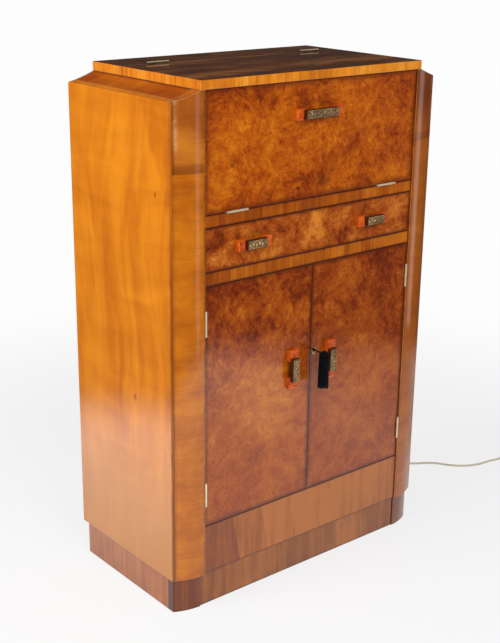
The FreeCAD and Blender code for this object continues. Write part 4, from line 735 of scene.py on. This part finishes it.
def enamel(name, colour, worn, roughness=0.35, coat=0.2):
    tree = Tree(name)
    flat = tree.flat()
    age = tree.noise(flat, 55, 5, 0.6, 0.3)
    return tree.surface({
        "Base Color": tree.mix(tree.spread(age, 0.5, 0.8, 0, 0.6), colour, worn),
        "Roughness": age * 0.2 + (roughness - 0.08), "Coat Weight": coat, "Coat Roughness": 0.15,
        "Normal": tree.bump(tree.noise(flat, 700, 2, 0.5), 0.25, 0.0001)})


wear(["lamp_bracket"], enamel("creamEnamel", (0.74, 0.68, 0.54), (0.56, 0.46, 0.3)))
wear(["switch_toggle"], enamel("brownToggle", (0.16, 0.06, 0.025), (0.08, 0.03, 0.015), 0.25))
wear(["plug"], enamel("creamPlug", (0.8, 0.76, 0.66), (0.66, 0.58, 0.44), 0.4))
wear(["cord_grommet", "lamp_lead"], enamel("creamRubber", (0.78, 0.72, 0.58), (0.62, 0.54, 0.38), 0.5, 0.0))
flexCurve.materials.append(enamel("creamFlex", (0.8, 0.73, 0.56), (0.64, 0.54, 0.36), 0.48, 0.0))

frost = Tree("frostedTube")
haze = frost.noise(frost.flat(), 90, 4, 0.6)
wear(["lamp_tube"], frost.surface({
    "Base Color": frost.mix(haze, (0.93, 0.9, 0.82), (0.86, 0.82, 0.72)), "Roughness": haze * 0.2 + 0.3,
    "Subsurface Weight": 0.3, "Subsurface Radius": (0.02, 0.02, 0.02), "Coat Weight": 0.4}))
silver = Tree("silveredGlass")
spots = silver.spread(silver.noise(silver.flat(), 24, 6, 0.65, 0.5), 0.66, 0.74)
wear(["mirror_lining"], silver.surface({
    "Base Color": silver.mix(spots, (0.86, 0.89, 0.88), (0.35, 0.33, 0.28)), "Metallic": 1.0,
    "Roughness": spots * 0.3}))
print("finishes on", len(nodes), "nodes")


def addPiece(made, name, body, material, smooth=True):
    bmesh.ops.recalc_face_normals(made, faces=made.faces)
    for face in made.faces:
        face.smooth = smooth
    thing = makeObject(made, name, material)
    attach(thing, body)
    return thing


# Stamped brass strips on the handle bars: leaflets are (onward, length, width, least turn, most turn)
stripLook = {
    "leaflets": [(0.34, 0.62, 0.0017, 0.3, 0.9), (-0.16, 0.5, 0.0015, -0.5, -1.1)],
    "height": 0.0185, "plate": 0.0006, "rim": 0.001, "sunk": 0.00035, "bead": 0.0009, "beadPitch": 0.0026,
    "flower": 0.0034, "flowerPitch": 0.0098, "flowerShift": 0.0012, "leaves": 5, "proud": 0.0009,
    "bright": (1.0, 0.74, 0.34), "dull": (0.6, 0.38, 0.16), "low": (0.19, 0.095, 0.036), "dim": (0.16, 0.085, 0.055)}
stripFront = frontY - 0.0162


def petal(made, put, spot, length, width, rise, angle):
    # one raised leaf: a low dome, longer than it is wide
    fresh = bmesh.ops.create_uvsphere(made, u_segments=8, v_segments=5, radius=1.0)["verts"]
    dome = (put @ Matrix.Translation(spot) @ Matrix.Rotation(angle, 4, "Y")
            @ Matrix.Translation((length * 0.55, 0, 0)) @ Matrix.Diagonal((length / 2, rise, width / 2, 1)))
    bmesh.ops.transform(made, matrix=dome, verts=fresh)


def stampedStrip(name, body, x, z, length, upright, seed):
    look = stripLook
    rng = random.Random(seed)
    made = bmesh.new()
    put = Matrix.Translation((x, stripFront, z)) @ Matrix.Rotation(math.pi / 2 * upright, 4, "Y")
    base = bmesh.ops.create_cube(made, size=1.0)["verts"]
    bmesh.ops.scale(made, vec=(length, look["plate"], look["height"]), verts=base)
    bmesh.ops.translate(made, vec=(0, -look["plate"] / 2, 0), verts=base)
    front = [face for face in made.faces if face.normal.y < -0.9]
    bmesh.ops.inset_region(made, faces=front, thickness=look["rim"])
    bmesh.ops.translate(made, vec=(0, look["sunk"], 0), verts=list({v for face in front for v in face.verts}))
    bmesh.ops.transform(made, matrix=put, verts=made.verts)
    count = max(3, round(length / look["flowerPitch"]))
    pitch = (length - 2 * look["rim"]) / count
    for number in range(count):
        along = -length / 2 + look["rim"] + pitch * (number + 0.5)
        spot = Vector((along, -look["plate"], look["flowerShift"] * (1 if number % 2 else -1)))
        size = look["flower"] * rng.uniform(0.9, 1.1)
        for leaf in range(look["leaves"]):
            angle = 2 * math.pi * leaf / look["leaves"] + rng.uniform(-0.2, 0.2)
            petal(made, put, spot, size, size * 0.62, look["proud"], angle)
        for hand in (-1, 1):
            for onward, long, wide, low, high in look["leaflets"]:
                spot = Vector((along + pitch * onward, -look["plate"], hand * look["height"] * 0.34))
                petal(made, put, spot, pitch * long, wide, look["proud"] * 0.8, hand * rng.uniform(low, high))
    beads = round(length / look["beadPitch"])
    for hand in (-1, 1):
        for number in range(beads):
            along = -length / 2 + (number + 0.5) * length / beads
            spot = Vector((along, -look["plate"], hand * (look["height"] / 2 - look["rim"] * 0.6)))
            fresh = bmesh.ops.create_icosphere(made, subdivisions=1, radius=look["bead"])["verts"]
            bmesh.ops.scale(made, vec=(1, 0.6, 1), verts=fresh)
            bmesh.ops.translate(made, vec=put @ spot, verts=fresh)
    addPiece(made, name, body, stampedBrass)


def antique(name, look):
    # rubbed bright on the relief and dark in the ground behind it
    tree = Tree(name)
    flat = tree.flat()
    ground = tree.spread(tree.axis(flat, "Y"), stripFront - 0.001, stripFront - 0.0003)
    patches = tree.noise(flat, 160, 4, 0.6, 0.3)
    colour = tree.mix(tree.spread(patches, 0.35, 0.7), look["bright"], look["dull"])
    colour = tree.mix(ground * 0.86, colour, look["low"])
    colour = tree.mix(tree.spread(tree.noise(flat, 38, 2, 0.5), 0.46, 0.62) * 0.55, colour, look["dim"])
    return tree.surface({
        "Base Color": colour, "Metallic": 0.5, "Normal": tree.bump(patches, 0.3, 0.0002),
        "Roughness": ground * 0.3 + patches * 0.25 + 0.22})


# each strip: its body, x, z, length, whether it stands upright, and its seed
strips = {
    "fallStrip": ("fall", 0, 1.1737, 0.0978, False, 3),
    "drawerStripLeft": ("drawer", -0.188, 0.896, 0.0558, False, 5),
    "drawerStripRight": ("drawer", 0.188, 0.896, 0.0558, False, 7),
    "doorStripLeft": ("left_door", -0.061, 0.56, 0.0558, True, 11),
    "doorStripRight": ("right_door", 0.061, 0.56, 0.0558, True, 13)}
stampedBrass = antique("stampedBrass", stripLook)
for name, strip in strips.items():
    stampedStrip(name, *strip)
print("handle strips stamped")

# Slotted screws: "slot" and "slotDepth" are shares of the head's radius and thickness
screwLook = {"slot": 0.15, "slotDepth": 0.3, "depth": 0.6, "thick": 0.0014, "proud": 0.00015}
screwRadius = {
    "leaf": 0.0024, "back": 0.0035, "lock": 0.0021, "foot": 0.0019, "lamp": 0.0018, "keeper": 0.0017, "bolt": 0.0016}


def screwPattern():
    # a countersunk head: two half discs with the slot between them over a smaller disc, one unit in radius
    made = bmesh.new()
    for hand in (-1, 1):
        half = bmesh.ops.create_circle(made, cap_ends=True, segments=16, radius=1)["verts"]
        geometry = {item for vert in half for item in (vert, *vert.link_edges, *vert.link_faces)}
        bmesh.ops.bisect_plane(made, geom=list(geometry), plane_co=(0, hand * screwLook["slot"], 0),
                               plane_no=(0, -hand, 0), clear_outer=True)
    drawn = bmesh.ops.extrude_face_region(made, geom=made.faces[:], use_keep_orig=True)["geom"]
    bmesh.ops.translate(made, vec=(0, 0, -screwLook["depth"]),
                        verts=[item for item in drawn if isinstance(item, bmesh.types.BMVert)])
    bmesh.ops.create_cone(made, cap_ends=True, segments=16, radius1=0.96, radius2=0.96, depth=0.3,
                          matrix=Matrix.Translation((0, 0, -0.15 - screwLook["slotDepth"])))
    mesh = bpy.data.meshes.new("screwPattern")
    made.to_mesh(mesh)
    made.free()
    return mesh


def driveScrews(name, body, heads):
    # each head: its place, the way it faces and its kind; no two slots stop at the same turn
    rng = random.Random(name)
    pattern = screwPattern()
    made = bmesh.new()
    for place, facing, kind in heads:
        before = set(made.verts)
        made.from_mesh(pattern)
        fresh = [vert for vert in made.verts if vert not in before]
        facing = Vector(facing)
        radius = screwRadius[kind]
        matrix = (Matrix.Translation(Vector(place) + facing * screwLook["proud"])
                  @ facing.to_track_quat("Z", "Y").to_matrix().to_4x4()
                  @ Matrix.Rotation(rng.uniform(0, math.pi), 4, "Z")
                  @ Matrix.Diagonal((radius, radius, screwLook["thick"], 1)))
        bmesh.ops.transform(made, matrix=matrix, verts=fresh)
    bpy.data.meshes.remove(pattern)
    addPiece(made, name, body, brass, smooth=False)


# where the leaves' screws stand: rows along the fall, the lid and both doors
leafY, doorX, lidZ, backFace = -0.1778, 0.3246, 1.2642, 0.2305
fallRow = [hand * x for hand in (-1, 1) for x in (0.215, 0.235, 0.255)]
lidRow = [hand * x for hand in (-1, 1) for x in (0.217, 0.237, 0.257)]
doorRow = [low + step for low in (0.271, 0.697) for step in (0.01, 0.03, 0.05)]
caseHeads = [((x, leafY, 0.9766), (0, 0, 1), "leaf") for x in fallRow]
caseHeads += [((x, 0.1089, lidZ), (0, -1, 0), "leaf") for x in lidRow]
caseHeads += [((hand * (doorX + 0.0004), leafY, z), (-hand, 0, 0), "leaf") for hand in (-1, 1) for z in doorRow]
caseHeads += [((hand * 0.324, -0.155, z), (-hand, 0, 0), "keeper") for hand in (-1, 1) for z in (1.1555, 1.1735)]
caseHeads += [((-0.149, 0.1665, z), (0, -1, 0), "lamp") for z in (1.2067, 1.2227)]
caseHeads += [((x, backFace, 0.12 + 0.22 * step), (0, 1, 0), "back") for x in (-0.385, 0.385) for step in range(6)]
caseHeads += [((-0.27 + 0.18 * step, backFace, z), (0, 1, 0), "back") for z in (0.099, 1.238) for step in range(4)]
fallHeads = [((x, leafY, 0.977), (0, 0, -1), "leaf") for x in fallRow]
fallHeads += [((hand * 0.3105, -0.1635, z), (0, 1, 0), "foot") for hand in (-1, 1) for z in (1.149, 1.165, 1.181)]
leftHeads = [((-doorX, leafY, z), (-1, 0, 0), "leaf") for z in doorRow]
leftHeads += [((-0.028 + hand * 0.0083, y, z), (0, 1, 0), "bolt")
              for hand in (-1, 1) for y, z in ((-0.1623, 0.778), (-0.1573, 0.799))]
rightHeads = [((doorX, leafY, z), (1, 0, 0), "leaf") for z in doorRow]
rightHeads += [((x, -0.1515, z), (0, 1, 0), "lock") for x in (0.0075, 0.0437) for z in (0.5668, 0.6072)]
driveScrews("caseScrews", "cabinet", caseHeads)
driveScrews("fallScrews", "fall", fallHeads)
driveScrews("lidScrews", "lid", [((x, 0.1085, lidZ), (0, 1, 0), "leaf") for x in lidRow])
driveScrews("leftDoorScrews", "left_door", leftHeads)
driveScrews("rightDoorScrews", "right_door", rightHeads)
print("screws driven")

# The tassel hangs from the key: x and y are its middle, the rest of the places are heights
tasselLook = {
    "x": 0.011, "y": frontY - 0.034, "top": 0.6, "head": 0.5945, "neck": 0.579, "foot": 0.5045, "headRadius": 0.0112,
    "neckRadius": 0.0106, "footRadius": 0.0122, "strands": 60, "thread": 0.0012, "ragged": 0.0035, "windings": 5,
    "winding": 0.0009, "headStrands": 16, "headThread": 0.0011, "cord": 0.0024}


def silkThread(name):
    tree = Tree(name)
    sheen = tree.noise(tree.stretch(tree.flat(), (1, 1, 0.15)), 900, 3, 0.6)
    colour = tree.ramp(sheen, (0.3, (0.001, 0.0014, 0.002)), (0.7, (0.0045, 0.007, 0.0085)))
    return tree.surface({
        "Base Color": colour, "Roughness": 0.55, "Specular IOR Level": 0.08, "Sheen Weight": 0.02,
        "Sheen Roughness": 0.4, "Normal": tree.bump(sheen, 0.4, 0.0003)})


def thread(made, spots, radius, sides=5):
    # a round thread drawn out through its spots, which run mostly up and down
    ring = bmesh.ops.create_circle(made, cap_ends=True, segments=sides, radius=radius)["verts"]
    bmesh.ops.translate(made, vec=spots[0], verts=ring)
    edges = list({edge for vert in ring for edge in vert.link_edges})
    for first, second in zip(spots, spots[1:]):
        drawn = bmesh.ops.extrude_edge_only(made, edges=edges)["geom"]
        edges = [item for item in drawn if isinstance(item, bmesh.types.BMEdge) and len(item.link_faces) == 1]
        fresh = [item for item in drawn if isinstance(item, bmesh.types.BMVert)]
        bmesh.ops.translate(made, vec=second - first, verts=fresh)
    bmesh.ops.contextual_create(made, geom=edges)


def spinRound(made, geometry):
    bmesh.ops.spin(made, geom=geometry, cent=(0, 0, 0), axis=(0, 0, 1), angle=2 * math.pi, steps=24, use_merge=True)


def windRing(made, centre, radius, thick):
    # a closed ring of thread about the upright axis
    ring = bmesh.ops.create_circle(made, segments=8, radius=thick)["verts"]
    bmesh.ops.rotate(made, cent=(0, 0, 0), matrix=Matrix.Rotation(math.pi / 2, 3, "X"), verts=ring)
    bmesh.ops.translate(made, vec=(radius, 0, 0), verts=ring)
    edges = list({edge for vert in ring for edge in vert.link_edges})
    before = set(made.verts) - set(ring)
    spinRound(made, ring + edges)
    bmesh.ops.translate(made, vec=centre, verts=[vert for vert in made.verts if vert not in before])


def strand(made, centre, angle, low, high, steps, radiusAt, thick):
    # a thread that follows a turned outline from one height to another
    out = Vector((math.cos(angle), math.sin(angle), 0))
    shares = [step / steps for step in range(steps + 1)]
    thread(made, [centre + out * radiusAt(share) + Vector((0, 0, low + (high - low) * share)) for share in shares],
           thick)


def makeTassel(look):
    rng = random.Random(4)
    centre = Vector((look["x"], look["y"], 0))
    made = bmesh.new()
    # core of the skirt and the wound head, turned from one outline
    neck, head = look["neck"] - look["foot"], look["head"] - look["foot"]
    foot, waist, crown = look["footRadius"], look["neckRadius"], look["headRadius"]
    outline = [(0.0001, 0), (foot * 0.8, 0), (foot * 0.82, 0.02), (waist * 0.9, neck), (crown * 0.8, neck + 0.003),
               (crown, (neck + head) / 2), (crown * 0.96, head - 0.0035), (crown * 0.8, head - 0.001),
               (0.004, head - 0.0002), (0.0001, head)]
    spots = [made.verts.new((radius, 0, height)) for radius, height in outline]
    edges = [made.edges.new(pair) for pair in zip(spots, spots[1:])]
    spinRound(made, spots + edges)
    bmesh.ops.remove_doubles(made, verts=made.verts, dist=0.00015)
    bmesh.ops.translate(made, vec=centre + Vector((0, 0, look["foot"] + 0.002)), verts=made.verts)
    # threads down the skirt
    for number in range(look["strands"]):
        angle = 2 * math.pi * number / look["strands"] + rng.uniform(-0.05, 0.05)
        strand(made, centre, angle, look["neck"], look["foot"] + rng.uniform(0, look["ragged"]), 6,
               lambda share: waist + (foot - waist) * share ** 0.6 + 0.0004 * math.sin(share * 9 + number * 1.7),
               look["thread"])
    # windings round the neck and over the head
    for number in range(look["windings"]):
        windRing(made, centre + Vector((0, 0, look["neck"] - 0.003 + number * 0.0016)), waist + 0.0008,
                 look["winding"])
    for number in range(look["headStrands"]):
        strand(made, centre, 2 * math.pi * number / look["headStrands"], look["neck"] + 0.003,
               look["head"] + 0.0015, 5,
               lambda share: crown * (0.25 + 0.78 * math.sin(math.pi * (0.12 + 0.78 * share))), look["headThread"])
    # a doubled cord from the head up to the key's bow
    for hand in (-1, 1):
        spots = [(hand * 0.0012, 0, look["head"] - 0.003), (hand * 0.003, 0.001, look["head"] + 0.003),
                 (hand * 0.0022, 0.001, look["top"] - 0.001)]
        thread(made, [centre + Vector(spot) for spot in spots], look["cord"], 7)
    return addPiece(made, "tasselSkirt", "tassel", silkThread("blackSilk"))


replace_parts(makeTassel(tasselLook), "tassel")
print("tassel hung")
